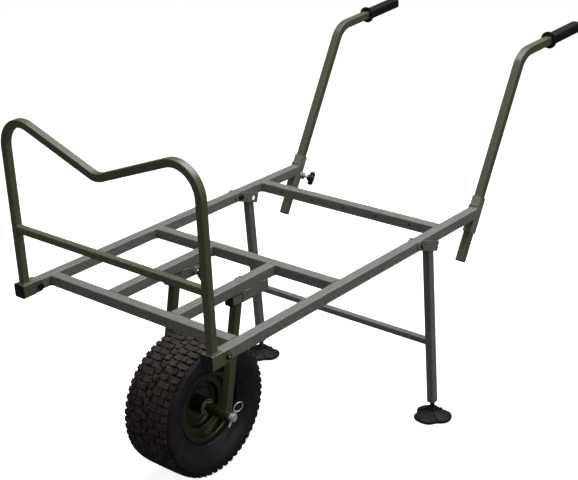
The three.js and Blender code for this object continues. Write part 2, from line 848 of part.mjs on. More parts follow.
// Tyre section: beads on the rim's seats, sides that slope out to the widest place, and a boxy
// round crown over it
const tyreCrown_angles = [8, 32, 55, 90].map(THREE.MathUtils.degToRad);
const tyreSide_angles = [68, 45, 22].map(THREE.MathUtils.degToRad);
const tyreInside_angles = [90, 45, 5].map(THREE.MathUtils.degToRad);
const crownPower = 1 / 3;
const sidePower = 3 / 2;

function crownPoint(angle, halfWidth, rise) {
  const across = angle === Math.PI / 2 ? 0 : halfWidth * Math.cos(angle) ** crownPower;
  return [tyreBulgeRadius + rise * Math.sin(angle) ** crownPower, across];
}

function sidePoint(angle, flangeSide) {
  const across = (tyreHalfWidth - flangeSide) * Math.cos(angle) ** sidePower;
  const drop = (tyreBulgeRadius - rimRadius) * Math.sin(angle) ** sidePower;
  return [tyreBulgeRadius - drop, flangeSide + across];
}

function carcass() {
  const rise = tyreRadius - lugHeight - tyreBulgeRadius;
  const flangeSide = rimHalfWidth - rimFlange - seatGap;
  const seat = beadSeatRadius + seatGap;
  const outside = [
    ...tyreSide_angles.map((angle) => sidePoint(angle, flangeSide)),
    ...tyreCrown_angles.map((angle) => crownPoint(angle, tyreHalfWidth, rise)),
  ];
  const inside = tyreInside_angles.map((angle) => (
    crownPoint(angle, tyreHalfWidth - tyreWall, rise - tyreWall)
  ));
  const beads = [[seat, flangeSide], [rimRadius, flangeSide]];
  const half = [...beads, ...outside];
  const mirrored = half.slice(0, -1).map(([radius, x]) => [radius, -x]).reverse();
  const innerHalf = [...inside, [seat, flangeSide - beadWidth + seatGap]];
  const innerMirrored = innerHalf.slice(1).map(([radius, x]) => [radius, -x]).reverse();
  return turned('x', [...half, ...mirrored, ...innerMirrored, ...innerHalf, half[0]], wheelSegments);
}

// Turf tread: staggered rows of blocks on the crown
function tread() {
  const sunk = tyreWall / 2;
  const blocks = [];
  for (let row = 0; row < lugRows; row += 1) {
    const x = (row - (lugRows - 1) / 2) * lugRowSpacing;
    const stagger = row % 2 === 0 ? 0 : 0.5;
    for (let i = 0; i < lugsAround; i += 1) {
      const angle = (2 * Math.PI * (i + stagger)) / lugsAround;
      const block = new THREE.BoxGeometry(lugWidth, lugLength, lugHeight + sunk);
      const reach = Math.sqrt(tyreRadius ** 2 - (lugLength / 2) ** 2);
      block.translate(x, 0, reach - (lugHeight + sunk) / 2);
      blocks.push(block.rotateX(angle + Math.PI));
    }
  }
  return blocks;
}

function tyre(group) {
  tyreRubber(group, 'tyre', joined(carcass(), ...tread()));
}

// Valve stem through the rim, with its foot inside the tyre
function valve(group) {
  const slope = (beadSeatRadius - discRadius) / (rimHalfWidth - rimFlange - discHalfThickness);
  const rimSurface = discHalfThickness + (valvePlace - discRadius + rimWall) / slope;
  const outer = rimSurface + valveLength / 2;
  const stem = rod('x', valveRadius, valveLength, holeSegments);
  const mesh = blackRubber(group, 'valve_stem', stem);
  mesh.position.set(valveSide * (outer - valveLength / 2), 0, valvePlace);
}

tyre(wheel);
rim(wheel);
hub(wheel);
valve(wheel);
for (const [name, outboard] of sides) {
  bearing(wheel, name, outboard);
}

// Handles: each group's +Z runs up the straight part
function handlePath() {
  const tubeEnd = gripSetback + gripLength - gripEndWall - seatGap;
  const turnedRise = Math.PI / 2 - handleLean - gripRise;
  const back = new THREE.Vector3(0, Math.sin(turnedRise), Math.cos(turnedRise));
  const corner = new THREE.Vector3(0, 0, handleReach);
  const start = new THREE.Vector3(0, 0, -handleBelow);
  const end = corner.clone().addScaledVector(back, tubeEnd);
  return { back, corner, corners: [start, corner, end] };
}

function handleTube(group, name) {
  const { corners } = handlePath();
  barPaint(group, `handle_tube_${name}`, bentTube(lightTube, lightWall, corners, [handleBend], 6));
  const plug = endPlug(lightTube, capHead, lightTube - 2 * lightWall, capDepth);
  const plugMesh = blackPlastic(group, `handle_plug_${name}`, plug);
  plugMesh.position.z = -handleBelow - seatGap - capHead;
}

// Rubber grip with a hand flange at its front and a closed end; +Z runs back along it
function grip(group, name) {
  const { back, corner } = handlePath();
  const bodyLength = gripLength - 2 * gripChamfer;
  const coreWidth = gripWidth - 2 * gripChamfer;
  const coreHeight = gripHeight - 2 * gripChamfer;
  const outline = roundedRectangle(coreWidth, coreHeight, gripChamfer);
  const body = new THREE.ExtrudeGeometry(outline, {
    depth: bodyLength,
    bevelThickness: gripChamfer,
    bevelSize: gripChamfer,
    bevelSegments: 1,
    curveSegments: 2,
  });
  body.translate(0, 0, gripChamfer);
  const flange = rod('z', gripFlangeRadius, gripFlangeThickness, 24);
  flange.translate(0, 0, gripFlangeThickness / 2);
  const boreSide = lightTube + 2 * seatGap;
  const boreLength = gripLength - gripEndWall + overrun;
  const bore = new THREE.BoxGeometry(boreSide, boreSide, boreLength);
  bore.translate(0, 0, boreLength / 2 - overrun);
  const mesh = blackRubber(group, `grip_${name}`, cut(joined(body, flange), bore));
  mesh.position.copy(corner).addScaledVector(back, gripSetback);
  mesh.quaternion.setFromUnitVectors(new THREE.Vector3(0, 0, 1), back);
}

// Knobs: the stud's tip stands just off the tube that it clamps
function placedKnob(group, name, outboard, turn, tubeReach, place) {
  const mesh = blackPlastic(group, name, clampKnob());
  mesh.rotation.z = inboardTurn(outboard, turn);
  const inboard = new THREE.Vector3(1, 0, 0).applyEuler(mesh.rotation);
  mesh.position.copy(place).addScaledVector(inboard, tubeReach + slideGap);
}

for (const [name, outboard] of sides) {
  const sleeve = leaningGroup(deck, name, outboard);
  const handle = new THREE.Group();
  handle.rotation.z = -outboard * handleSplay;
  sleeve.add(handle);
  handleTube(handle, name);
  grip(handle, name);
  const corner = cornerReach(lightTube);
  const sleevePoint = new THREE.Vector3(0, 0, -sleeveKnobDrop);
  placedKnob(sleeve, `handle_knob_${name}`, outboard, sleeveKnobTurn, corner, sleevePoint);
  const knobPlace = receiverPlace + receiverKnobPlace;
  const forkPoint = new THREE.Vector3(outboard * forkX, knobPlace, receiverDrop);
  placedKnob(deck, `fork_knob_${name}`, outboard, 0, lightTube / 2, forkPoint);
}

// The barrow stands on its tyre and its two feet, which sets the deck's pitch
const ballBehindPivot = legSetback + (legLength + stemLength) * Math.sin(legLean);
const ballBelowPivot = (legLength + stemLength) * Math.cos(legLean);
const wheelOverBall = -axleDrop - (railMiddle - ballBelowPivot);
const wheelAheadOfBall = legPivot + ballBehindPivot - axlePlace;
const pitch = Math.acos((tyreRadius - footBallHeight) / Math.hypot(wheelOverBall, wheelAheadOfBall))
  - Math.atan2(wheelAheadOfBall, wheelOverBall);
deck.rotation.x = pitch;

for (const [name, outboard] of sides) {
  const foot = footPad(legs, name);
  foot.position.set(outboard * railX, ballBehindPivot, -ballBelowPivot);
  foot.rotation.x = -pitch;
}

const barrow = new THREE.Group();
barrow.add(deck);
barrow.updateMatrixWorld(true);
const bounds = new THREE.Box3().setFromObject(barrow, true);
barrow.position.set(0, -(bounds.min.y + bounds.max.y) / 2, -bounds.min.z);

export default barrow;
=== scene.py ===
"""Fishing barrow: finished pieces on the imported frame.

Everything is in metres in the frame's own axes: +Z up, the wheel end toward -Y, left is +X.
Pieces are laid out on the deck, where y runs back from the front face of the front crossbar and
z up from the top of the deck, and are then turned with the deck's small pitch.
"""

import json
import math

import bmesh
import bpy
from mathutils import Matrix, Vector


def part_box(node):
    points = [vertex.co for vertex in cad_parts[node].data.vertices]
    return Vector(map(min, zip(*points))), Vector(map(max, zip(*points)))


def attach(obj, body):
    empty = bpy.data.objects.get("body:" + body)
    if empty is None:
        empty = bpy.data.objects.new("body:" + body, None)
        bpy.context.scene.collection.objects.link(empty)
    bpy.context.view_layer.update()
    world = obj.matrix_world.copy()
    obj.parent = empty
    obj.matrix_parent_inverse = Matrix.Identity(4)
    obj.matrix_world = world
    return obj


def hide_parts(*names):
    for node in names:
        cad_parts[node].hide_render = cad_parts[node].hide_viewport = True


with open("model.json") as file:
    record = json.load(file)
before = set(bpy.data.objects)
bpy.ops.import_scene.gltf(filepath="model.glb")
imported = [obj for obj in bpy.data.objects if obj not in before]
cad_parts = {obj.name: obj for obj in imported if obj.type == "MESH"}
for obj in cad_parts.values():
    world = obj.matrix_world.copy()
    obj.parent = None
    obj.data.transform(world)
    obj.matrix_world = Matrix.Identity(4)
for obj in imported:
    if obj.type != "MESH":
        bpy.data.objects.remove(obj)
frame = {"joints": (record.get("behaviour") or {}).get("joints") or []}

bl_info = {
    "name": "Fishing Barrow",
    "version": (1, 0, 0),
    "blender": (4, 5, 0),
    "location": "3D View > Sidebar > Barrow",
    "description": "Builds a folding fishing barrow piece by piece",
    "category": "Add Mesh",
}

JOINTS = {joint["name"]: joint for joint in frame["joints"]}
SIDES = (("left", 1), ("right", -1))
WHOLE_TURN = 2 * math.pi
QUARTER_TURN = math.pi / 2
# Roundings of small edges
FINE, SMALL, SOFT = 0.0004, 0.0006, 0.0008


# Sizes and colours that a user may change


def length(name, description, millimetres):
    return bpy.props.FloatProperty(
        name=name,
        description=description,
        default=millimetres / 1000,
        subtype="DISTANCE",
        unit="LENGTH",
        precision=4,
    )


def turn(name, description, degrees):
    angle = math.radians(degrees)
    return bpy.props.FloatProperty(
        name=name, description=description, default=angle, subtype="ANGLE", unit="ROTATION"
    )


def count(name, description, number):
    return bpy.props.IntProperty(name=name, description=description, default=number, min=1)


def level(name, description, value):
    return bpy.props.FloatProperty(name=name, description=description, default=value, min=0)


def linear(value):
    """A colour channel from its screen value."""
    return value / 12.92 if value <= 0.04045 else ((value + 0.055) / 1.055) ** 2.4


def colour(name, description, red, green, blue):
    tone = [linear(channel / 255) for channel in (red, green, blue)]
    return bpy.props.FloatVectorProperty(
        name=name,
        description=description,
        default=tone,
        subtype="COLOR",
        size=3,
        min=0,
        max=1,
    )


class BarrowTubes(bpy.types.PropertyGroup):
    frame_side: length("Frame tube", "Side of the deck's square tube", 25)
    frame_wall: length("Frame wall", "Wall of the deck's square tube", 2)
    light_side: length("Sliding tube", "Side of the legs', fork's and handles' tube", 20)
    light_wall: length("Sliding wall", "Wall of the legs', fork's and handles' tube", 1.6)
    brace_side: length("Brace tube", "Side of the leg brace and load bar crossbar", 16)
    brace_wall: length("Brace wall", "Wall of the leg brace and load bar crossbar", 1.5)
    hoop_side: length("Hoop tube", "Side of the load bar's bent tube", 17.5)
    hoop_wall: length("Hoop wall", "Wall of the load bar's bent tube", 1.5)
    rounding: length("Corner rounding", "Radius of a tube's long edges", 2.2)
    gap: length("Gap", "Clearance between pieces that touch", 0.3)
    bead: length("Weld bead", "Radius of a weld bead", 1.7)
    ripple: length("Weld ripple", "Distance from one ripple of a weld bead to the next", 3.2)


class BarrowDeck(bpy.types.PropertyGroup):
    rail_spacing: length("Rail spacing", "Between the middles of the side rails", 569)
    inner_spacing: length("Inner spacing", "Between the middles of the inner rails", 190)
    nose: length("Rail nose", "Reach of a side rail ahead of the front crossbar", 45.5)
    middle_bar: length("Middle crossbar", "Place of the middle crossbar's front face", 332.5)
    rear_bar: length("Rear crossbar", "Place of the rear crossbar's front face", 720.8)
    hole_spacing: length("Hole spacing", "Between holes in the rear crossbar", 101)
    hole_radius: length("Hole radius", "Radius of the holes in the rear crossbar", 3.5)
    hole_count: count("Holes", "Holes in the rear crossbar", 5)
    sleeve_place: length("Sleeve place", "Place of the handle sleeves' middles", 884.4)
    sleeve_below: length("Sleeve below", "Reach of a handle sleeve below the rail", 53)
    sleeve_above: length("Sleeve above", "Reach of a handle sleeve above the rail", 38)
    handle_lean: turn("Handle lean", "Lean of the sleeves and handles to the back", 30)
    receiver_place: length("Receiver place", "Place of the fork receivers' front ends", 223)
    receiver_length: length("Receiver length", "Length of a fork receiver", 84)


class BarrowLoadBar(bpy.types.PropertyGroup):
    place: length("Hoop place", "Place of the hoop's middle", -62.5)
    shoulder: length("Shoulder height", "Height of the hoop's shoulders over the deck", 407.9)
    dip: length("Dip", "Drop of the hoop's middle below its shoulders", 102.4)
    shoulder_bend: length("Shoulder bend", "Bend radius at the shoulders", 62.5)
    dip_bend: length("Dip bend", "Bend radius at the dip", 50)
    bar_height: length("Crossbar height", "Height of the load bar's crossbar", 133)
    base_wall: length("Base wall", "Wall of the folding base blocks", 2.7)
    base_front: length("Base front", "Place of the base blocks' front ends", -78)
    pivot: length("Pivot place", "Place of the base blocks' bolts", -33)
    cheek: length("Cheek", "Reach of the base blocks' cheeks behind the bolt", 8)


class BarrowLegs(bpy.types.PropertyGroup):
    pivot: length("Pivot place", "Place of the leg brackets' bolts", 634)
    slope: turn("Bracket slope", "Slope of the leg brackets under the rails", 19.5)
    height: length("Bracket height", "Height of a leg bracket", 24.4)
    cheek: length("Bracket cheek", "Thickness of a leg bracket's cheeks", 3.2)
    web: length("Bracket web", "Thickness of a leg bracket's web", 4)
    nose: length("Bracket nose", "Reach of a bracket ahead of its bolt", 16.5)
    tail: length("Bracket tail", "Reach of a bracket behind its bolt", 70)
    hole: length("Lock hole", "Distance of a bracket's lock hole from its bolt", 54)
    hole_radius: length("Lock hole radius", "Radius of a bracket's lock hole", 6)
    lean: turn("Leg lean", "Lean of the legs to the back", 2.86)
    setback: length("Leg setback", "Distance of a leg behind the bolt", 44.2)
    length: length("Leg length", "Length of a leg below the bolt line", 448)
    brace_drop: length("Brace drop", "Drop of the leg brace below the bolt line", 279.5)


class BarrowFeet(bpy.types.PropertyGroup):
    radius: length("Foot radius", "Radius of a foot's dish", 49.5)
    height: length("Foot height", "Height of a foot", 30)
    ball_height: length("Ball height", "Height of the ball's middle above the ground", 24)
    ball_radius: length("Ball radius", "Radius of the ball in the foot", 10)
    stem_radius: length("Stem radius", "Radius of the threaded stem", 6)
    stem_length: length("Stem length", "From the leg's end to the ball's middle", 25)
    lobes: count("Foot lobes", "Lobes round a foot's dish", 3)
    lobe_depth: length("Foot lobe depth", "Depth of the hollows between a foot's lobes", 10)
    lobe_turn: turn("Foot turn", "Bearing of a foot's first lobe from the axle's left", 22)


class BarrowFork(bpy.types.PropertyGroup):
    arm_nose: length("Arm nose", "Reach of a fork arm ahead of its receiver", 31)
    arm_inside: length("Arm inside", "Length of a fork arm inside its receiver", 82)
    cap_side: length("Arm cap", "Side of the cap on a fork arm", 24)
    cap_head: length("Cap thickness", "Thickness of the cap on a fork arm", 3)
    lean: turn("Fork lean", "Lean of the fork legs", 12.4)
    axle_place: length("Axle place", "Place of the axle behind the front crossbar", 155.5)
    axle_drop: length("Axle drop", "Drop of the axle below the deck", 305.8)
    sleeve_radius: length("Axle sleeve", "Radius of the axle sleeves under the fork legs", 12.7)
    neck_radius: length("Sleeve neck", "Radius of an axle sleeve beside the bearing", 10.6)
    neck_length: length("Neck length", "Length of the slimmer part of an axle sleeve", 8)
    sleeve_reach: length("Sleeve reach", "Reach of an axle sleeve past its fork leg", 7.5)
    axle_radius: length("Axle radius", "Radius of the axle", 9.5)
    overhang: length("Axle overhang", "Reach of the axle past the left axle sleeve", 10.5)
    head_radius: length("Axle head", "Radius of the axle's head across its corners", 14)
    head_length: length("Axle head length", "Length of the axle's head", 5)
    pin_lean: turn("Pin lean", "Lean of the lynch pin", -38)
    pin_radius: length("Pin radius", "Radius of the lynch pin", 2.2)
    pin_inset: length("Pin inset", "Distance of the pin from the axle's end", 6)
    pin_tail: length("Pin tail", "Reach of the pin below the axle", 15)
    pin_head_radius: length("Pin head radius", "Radius of the lynch pin's head", 4)
    pin_head_length: length("Pin head length", "Length of the lynch pin's head", 7)
    ring_radius: length("Ring radius", "Radius of the ring on the lynch pin", 12.8)
    ring_wire: length("Ring wire", "Radius of the ring's wire", 1.3)
    ring_tilt: turn("Ring tilt", "Lean of the ring away from the wheel", 14)


class BarrowWheel(bpy.types.PropertyGroup):
    radius: length("Tyre radius", "Radius over the tread", 163)
    half_width: length("Tyre half width", "Half the width of the tyre", 70)
    bulge_radius: length("Bulge radius", "Radius at which the tyre is widest", 132)
    seat_half_width: length("Bead half width", "Half the width of the tyre inside the rim", 38.5)
    lug_height: length("Lug height", "Height of the tread's blocks", 6)
    pitches: count("Tread pitches", "Blocks round each row of the tread", 56)
    tread_turn: turn("Tread turn", "Turn of the tread round the axle", 4)
    groove: length("Tread groove", "Width of the grooves between the rows of blocks", 2.4)
    centre_row: length("Middle row", "Half the width of the middle row of blocks", 8)
    centre_shift: length("Middle shift", "Shift of the middle blocks to either side in turn", 2)
    short_row: length("Short blocks", "Reach of the short blocks along the tread", 32)
    long_row: length("Long blocks", "Reach of the long blocks along the tread", 46)
    tread_edge: length("Tread edge", "Reach of the shoulder blocks along the tread", 62.5)
    block_fill: level("Block fill", "Share of a pitch that a block takes", 0.84)
    edge_fill: level("Edge fill", "Share of its width that a block keeps at the tread's edge", 0.72)
    block_bow: level("Block bow", "Share of a pitch by which a block bows at its middle", 0.13)
    rim_radius: length("Rim radius", "Radius of the rim's flange", 85.5)
    rim_half_width: length("Rim half width", "Half the width of the rim", 42.7)
    rim_wall: length("Rim wall", "Thickness of the rim", 2.8)
    seat_radius: length("Bead seat", "Radius of the tyre's seat on the rim", 77)
    disc_radius: length("Disc radius", "Radius of the rim's flat disc", 56)
    disc_half: length("Disc half thickness", "Half the thickness of the disc", 6)
    hub_radius: length("Hub radius", "Radius of the hub", 21)
    hub_half: length("Hub half length", "Half the length of the hub", 38.5)
    bearing_radius: length("Bearing radius", "Radius of a wheel bearing", 18.5)
    bearing_length: length("Bearing length", "Length of a wheel bearing", 12)
    valve_radius: length("Valve radius", "Radius of the valve stem", 4)
    valve_length: length("Valve length", "Length of the valve stem", 24)


class BarrowHandles(bpy.types.PropertyGroup):
    below: length("Handle below", "Reach of a handle below its sleeve's middle", 125.5)
    reach: length("Handle reach", "From the sleeve's middle to the bend", 408.5)
    bend: length("Handle bend", "Bend radius of a handle", 60)
    splay: turn("Handle splay", "Turn of a handle in its sleeve, outward", 1.7)
    rise: turn("Grip rise", "Rise of the grips to the back", 3.1)
    setback: length("Grip setback", "From the bend's corner to the grip", 126)
    grip_length: length("Grip length", "Length of a grip", 144)
    grip_width: length("Grip width", "Width of a grip", 29)
    grip_height: length("Grip height", "Height of a grip", 26)
    flange_radius: length("Grip flange", "Radius of a grip's flange", 22)
    flange: length("Flange thickness", "Thickness of a grip's flange", 3.5)
    end_wall: length("Grip end", "Thickness of a grip's closed end", 5)
    plug_head: length("Plug head", "Thickness of an end plug's head", 2)


class BarrowKnobs(bpy.types.PropertyGroup):
    radius: length("Knob radius", "Radius of a clamp knob over its lobes", 20)
    thickness: length("Knob thickness", "Thickness of a clamp knob", 12)
    lobes: count("Knob lobes", "Lobes round a clamp knob", 6)
    lobe_depth: length("Lobe depth", "Depth of the hollows between the lobes", 3.4)
    hub_radius: length("Hub radius", "Radius of a knob's hub", 8)
    hub_length: length("Hub length", "Length of a knob's hub", 6)
    stud_radius: length("Stud radius", "Radius of a clamp stud", 4)
    stud_length: length("Stud length", "From the stud's tip to the knob", 25)
    tip_gap: length("Tip gap", "Gap between a stud's tip and the tube it clamps", 0.5)
    sleeve_drop: length("Sleeve knob drop", "Drop of a handle knob below the sleeve's middle", 13.5)
    receiver_place: length("Fork knob place", "From a receiver's front end to its knob", 46)
    nut_radius: length("Weld nut radius", "Radius of a weld nut across its corners", 10)
    nut_length: length("Weld nut length", "Reach of a weld nut off its tube", 8)
    bolt_head: length("Bolt head", "Radius of a pivot bolt's head", 7)
    bolt_head_height: length("Bolt head height", "Height of a pivot bolt's head", 4.4)
    bolt_nut: length("Bolt nut", "Radius of a pivot bolt's nut across its corners", 7.5)
    bolt_nut_height: length("Bolt nut height", "Height of a pivot bolt's nut", 6.5)
    bolt_radius: length("Bolt radius", "Radius of a pivot bolt", 4)


class BarrowColours(bpy.types.PropertyGroup):
    frame: colour("Frame", "Grey-olive paint of the deck, the rear legs and the fork's arms", 113, 114, 108)
    bar: colour("Load bar", "Olive paint of the load bar and handles", 88, 89, 67)
    # Painted shade: the fork's legs are frame paint darkened and tinted olive
    fork: colour("Fork", "Olive paint of the fork's legs", 76, 78, 54)
    # Painted shade: the axle sleeves are frame paint darkened to dark olive
    sleeve: colour("Axle sleeves", "Dark olive paint of the axle sleeves", 50, 54, 28)
    rim: colour("Rim", "Dark olive gloss of the rim", 36, 43, 10)
    plastic: colour("Plastic", "Black plastic of caps, plugs and knobs", 26, 25, 28)
    rubber: colour("Rubber", "Black rubber of the grips and feet", 22, 20, 26)
    tread: colour("Tread", "Brown-black of the tread", 34, 28, 26)
    sidewall: colour("Sidewall", "Black of the tyre's sides", 26, 22, 30)
    steel: colour("Bright steel", "Zinc plate of the axle, pin and bearings", 232, 232, 230)
    bolt: colour("Bolts", "Blackened steel of the pivot bolts", 28, 28, 30)


class BarrowStage(bpy.types.PropertyGroup):
    floor: length("Floor", "Side of the floor", 40000)
    focal: level("Focal length", "Focal length in millimetres on a 36 mm sensor", 78.43)
    azimuth: turn("Camera azimuth", "Camera's bearing, measured from the deck", 40.92)
    elevation: turn("Camera elevation", "Camera's height angle, measured from the deck", 22.73)
    roll: turn("Camera roll", "Camera's roll, measured from the deck", -2.49)
    eye_x: length("Camera x", "Camera's place left of the barrow's middle", 1827.1)
    eye_y: length("Camera y", "Camera's place behind the front crossbar", -1599.5)
    eye_z: length("Camera z", "Camera's height above the deck", 1142.9)
    sky: level("Sky", "Strength of the soft light from all round", 0.17)
    overhead: level("Overhead lamp", "Power of the lamp over the barrow, in watts", 100)
    key: level("Side lamp", "Power of the lamp on the barrow's left, in watts", 26)
    fill: level("Front lamp", "Power of the lamp ahead of the load bar, in watts", 14)
    glow: level("Floor glow", "Brightness of the floor where it is in full shade", 0.86)


GROUPS = {
    "tubes": BarrowTubes,
    "deck": BarrowDeck,
    "load_bar": BarrowLoadBar,
    "legs": BarrowLegs,
    "feet": BarrowFeet,
    "fork": BarrowFork,
    "wheel": BarrowWheel,
    "handles": BarrowHandles,
    "knobs": BarrowKnobs,
    "colours": BarrowColours,
    "stage": BarrowStage,
}


def sizes(*names):
    """The scene's groups of sizes with these names."""
    return [getattr(bpy.context.scene, f"barrow_{name}") for name in names]


# Where things are


def moved(x=0, y=0, z=0):
    return Matrix.Translation((x, y, z))


def spun(angle, axis):
    return Matrix.Rotation(angle, 4, axis)


# Turns an outline's x and y to y and z
SIDE_ON = spun(QUARTER_TURN, "Z") @ spun(QUARTER_TURN, "X")


def deck_matrix():
    """From deck coordinates to the frame's: the fork slides along the deck and the load bar's
    bolts give its place."""
    tubes, bar = sizes("tubes", "load_bar")
    forward = Vector(JOINTS["fork_slide"]["axis"])
    turned = spun(math.atan2(-forward.z, -forward.y), "X")
    pivot = Vector((0, bar.pivot, -tubes.frame_side / 2))
    return Matrix.Translation(Vector(JOINTS["load_bar_fold"]["pos_m"]) - turned @ pivot) @ turned


def rail_matrix(outboard, y):
    """A place in the middle of a side rail."""
    tubes, deck = sizes("tubes", "deck")
    return deck_matrix() @ moved(outboard * deck.rail_spacing / 2, y, -tubes.frame_side / 2)


def sleeve_matrix(outboard):
    """A sleeve's own space, with +Z up the handle."""
    (deck,) = sizes("deck")
    return rail_matrix(outboard, deck.sleeve_place) @ spun(-deck.handle_lean, "X")


def leg_matrix(outboard):
    """A leg's own space, with +Z up the leg."""
    (legs,) = sizes("legs")
    return rail_matrix(outboard, legs.pivot + legs.setback) @ spun(legs.lean, "X")


def axle_matrix():
    """The axle's own space: x along the axle, y back and z up with the deck."""
    (fork,) = sizes("fork")
    return deck_matrix() @ moved(0, fork.axle_place, -fork.axle_drop)


def knob_places(outboard):
    """Where a handle knob and a fork knob point inboard from their tubes' middles."""
    deck, knobs = sizes("deck", "knobs")
    half_turn = math.pi if outboard > 0 else 0
    sleeve = sleeve_matrix(outboard) @ moved(z=-knobs.sleeve_drop)
    sleeve = sleeve @ spun(half_turn - outboard * math.pi / 4, "Z")
    y = deck.receiver_place + knobs.receiver_place
    receiver = deck_matrix() @ moved(outboard * deck.inner_spacing / 2, y, receiver_drop())
    return sleeve, receiver @ spun(half_turn, "Z")


def flipped(place, outboard):
    """A place that faces left, turned round for the right side."""
    return place if outboard > 0 else place @ spun(math.pi, "Z")


def receiver_drop():
    (tubes,) = sizes("tubes")
    return -(tubes.frame_side * 1.5 + tubes.gap)


def sleeve_end():
    """Where the axle sleeves end, from the barrow's middle."""
    tubes, deck, fork = sizes("tubes", "deck", "fork")
    return (deck.inner_spacing + tubes.light_side) / 2 + fork.sleeve_reach


def corner_reach(side):
    (tubes,) = sizes("tubes")
    return (side / 2 - tubes.rounding) * math.sqrt(2) + tubes.rounding


# Shapes


def polar(radius, angle):
    return radius * math.cos(angle), radius * math.sin(angle)


def turns(number):
    """Angles at even steps once round."""
    return [WHOLE_TURN * i / number for i in range(number)]


def rounded_square(width, height, steps=4):
    """Points round a rectangle with rounded corners, anticlockwise from its +X side."""
    (tubes,) = sizes("tubes")
    return rounded_corners(width, height, tubes.rounding, steps)


def rounded_corners(width, height, rounding, steps=4):
    """Points round a rectangle whose corners have this radius."""
    points = []
    for quarter, (x_sign, y_sign) in enumerate(((1, 1), (-1, 1), (-1, -1), (1, -1))):
        for step in range(steps + 1):
            x, y = polar(rounding, (quarter + step / steps) * QUARTER_TURN)
            points.append((x_sign * (width / 2 - rounding) + x, y_sign * (height / 2 - rounding) + y))
    return points


def hexagon(radius):
    """Points round a hexagon, as many as a circle of 36 steps has."""
    points = []
    for angle in turns(36):
        part = angle % (math.pi / 3) - math.pi / 6
        points.append(polar(radius * math.cos(math.pi / 6) / math.cos(part), angle))
    return points


def filleted(points, radius, steps=5):
    """An open outline with each inner corner rounded to the radius, or less where it is short."""
    straight_enough = math.radians(3)
    longest_cut = 0.45
    spots = [Vector(point) for point in points]
    smooth = [spots[0]]
    for before, here, after in zip(spots, spots[1:], spots[2:]):
        back, ahead = before - here, after - here
        bend = math.pi - back.angle(ahead)
        if bend < straight_enough:
            smooth.append(here)
            continue
        longest = longest_cut * min(back.length, ahead.length)
        cut = min(radius * math.tan(bend / 2), longest)
        start = here + back.normalized() * cut
        end = here + ahead.normalized() * cut
        for step in range(steps + 1):
            share = step / steps
            smooth.append(start.lerp(here, share).lerp(here.lerp(end, share), share))
    smooth.append(spots[-1])
    return [tuple(spot) for spot in smooth]


def loop_of(shape, points):
    return [shape.verts.new(point) for point in points]


def bridge(shape, first, second):
    for i in range(len(first)):
        j = (i + 1) % len(first)
        shape.faces.new((first[i], first[j], second[j], second[i]))


def skin(shape, rings, closed=False, capped=False):
    """A surface through rings of points, closed on its first ring or capped at its ends."""
    loops = [loop_of(shape, ring) for ring in rings]
    for first, second in zip(loops, loops[1:] + (loops[:1] if closed else [])):
        bridge(shape, first, second)
    if capped:
        shape.faces.new(loops[0])
        shape.faces.new(loops[-1])
    return loops


def turned_shape(outline, axis="X", segments=64, closed=True, shape=None, slot=0):
    """Radius and height pairs turned about an axis."""
    shape = shape or bmesh.new()
    spin = spun(QUARTER_TURN, "Y") if axis == "X" else Matrix()
    loops = []
    for radius, height in outline:
        angles = turns(segments) if radius else [0]
        loops.append(loop_of(shape, [spin @ Vector((*polar(radius, a), height)) for a in angles]))
    for first, second in zip(loops, loops[1:] + (loops[:1] if closed else [])):
        for i in range(segments):
            corners = []
            for loop, index in ((first, i), (first, i + 1), (second, i + 1), (second, i)):
                corner = loop[index % len(loop)]
                if corner not in corners:
                    corners.append(corner)
            if len(corners) > 2:
                shape.faces.new(corners).material_index = slot
    return shape


def prism_shape(outline, low, high, bevel=0, steps=2):
    """A flat outline raised along +Z, with its rims rounded by bevel."""
    middle = Vector((sum(x for x, y in outline), sum(y for x, y in outline))) / len(outline)
    levels = [(0, low), (0, high)]
    if bevel:
        arc = [polar(bevel, step / steps * QUARTER_TURN) for step in range(steps + 1)]
        levels = [(bevel - y, low + bevel - x) for x, y in arc]
        levels += [(inset, low + high - height) for inset, height in reversed(levels)]
    rings = []
    for inset, height in levels:
        ring = []
        for point in outline:
            toward = middle - Vector(point)
            spot = Vector(point) + toward.normalized() * min(inset, toward.length)
            ring.append((*spot, height))
        rings.append(ring)
    shape = bmesh.new()
    skin(shape, rings, capped=True)
    return shape


def absorb(shape, extra, place=Matrix()):
    """Moves an extra shape to its place and makes it part of a shape."""
    bmesh.ops.transform(extra, matrix=place, verts=extra.verts)
    mesh = bpy.data.meshes.new("Part")
    extra.to_mesh(mesh)
    extra.free()
    shape.from_mesh(mesh)
    bpy.data.meshes.remove(mesh)


def bent_line(corners, radii, steps=20):
    """Points and headings along straight runs with an arc at each corner."""
    corners = [Vector(corner) for corner in corners]
    headings = [(after - before).normalized() for before, after in zip(corners, corners[1:])]
    line = [(corners[0], headings[0])]
    for corner, radius, before, after in zip(corners[1:-1], radii, headings, headings[1:]):
        bend = before.angle(after)
        axis = before.cross(after).normalized()
        centre = corner - before * radius * math.tan(bend / 2) + axis.cross(before) * radius
        for step in range(steps + 1):
            heading = Matrix.Rotation(bend * step / steps, 3, axis) @ before
            line.append((centre - axis.cross(heading) * radius, heading))
    line.append((corners[-1], headings[-1]))
    return line


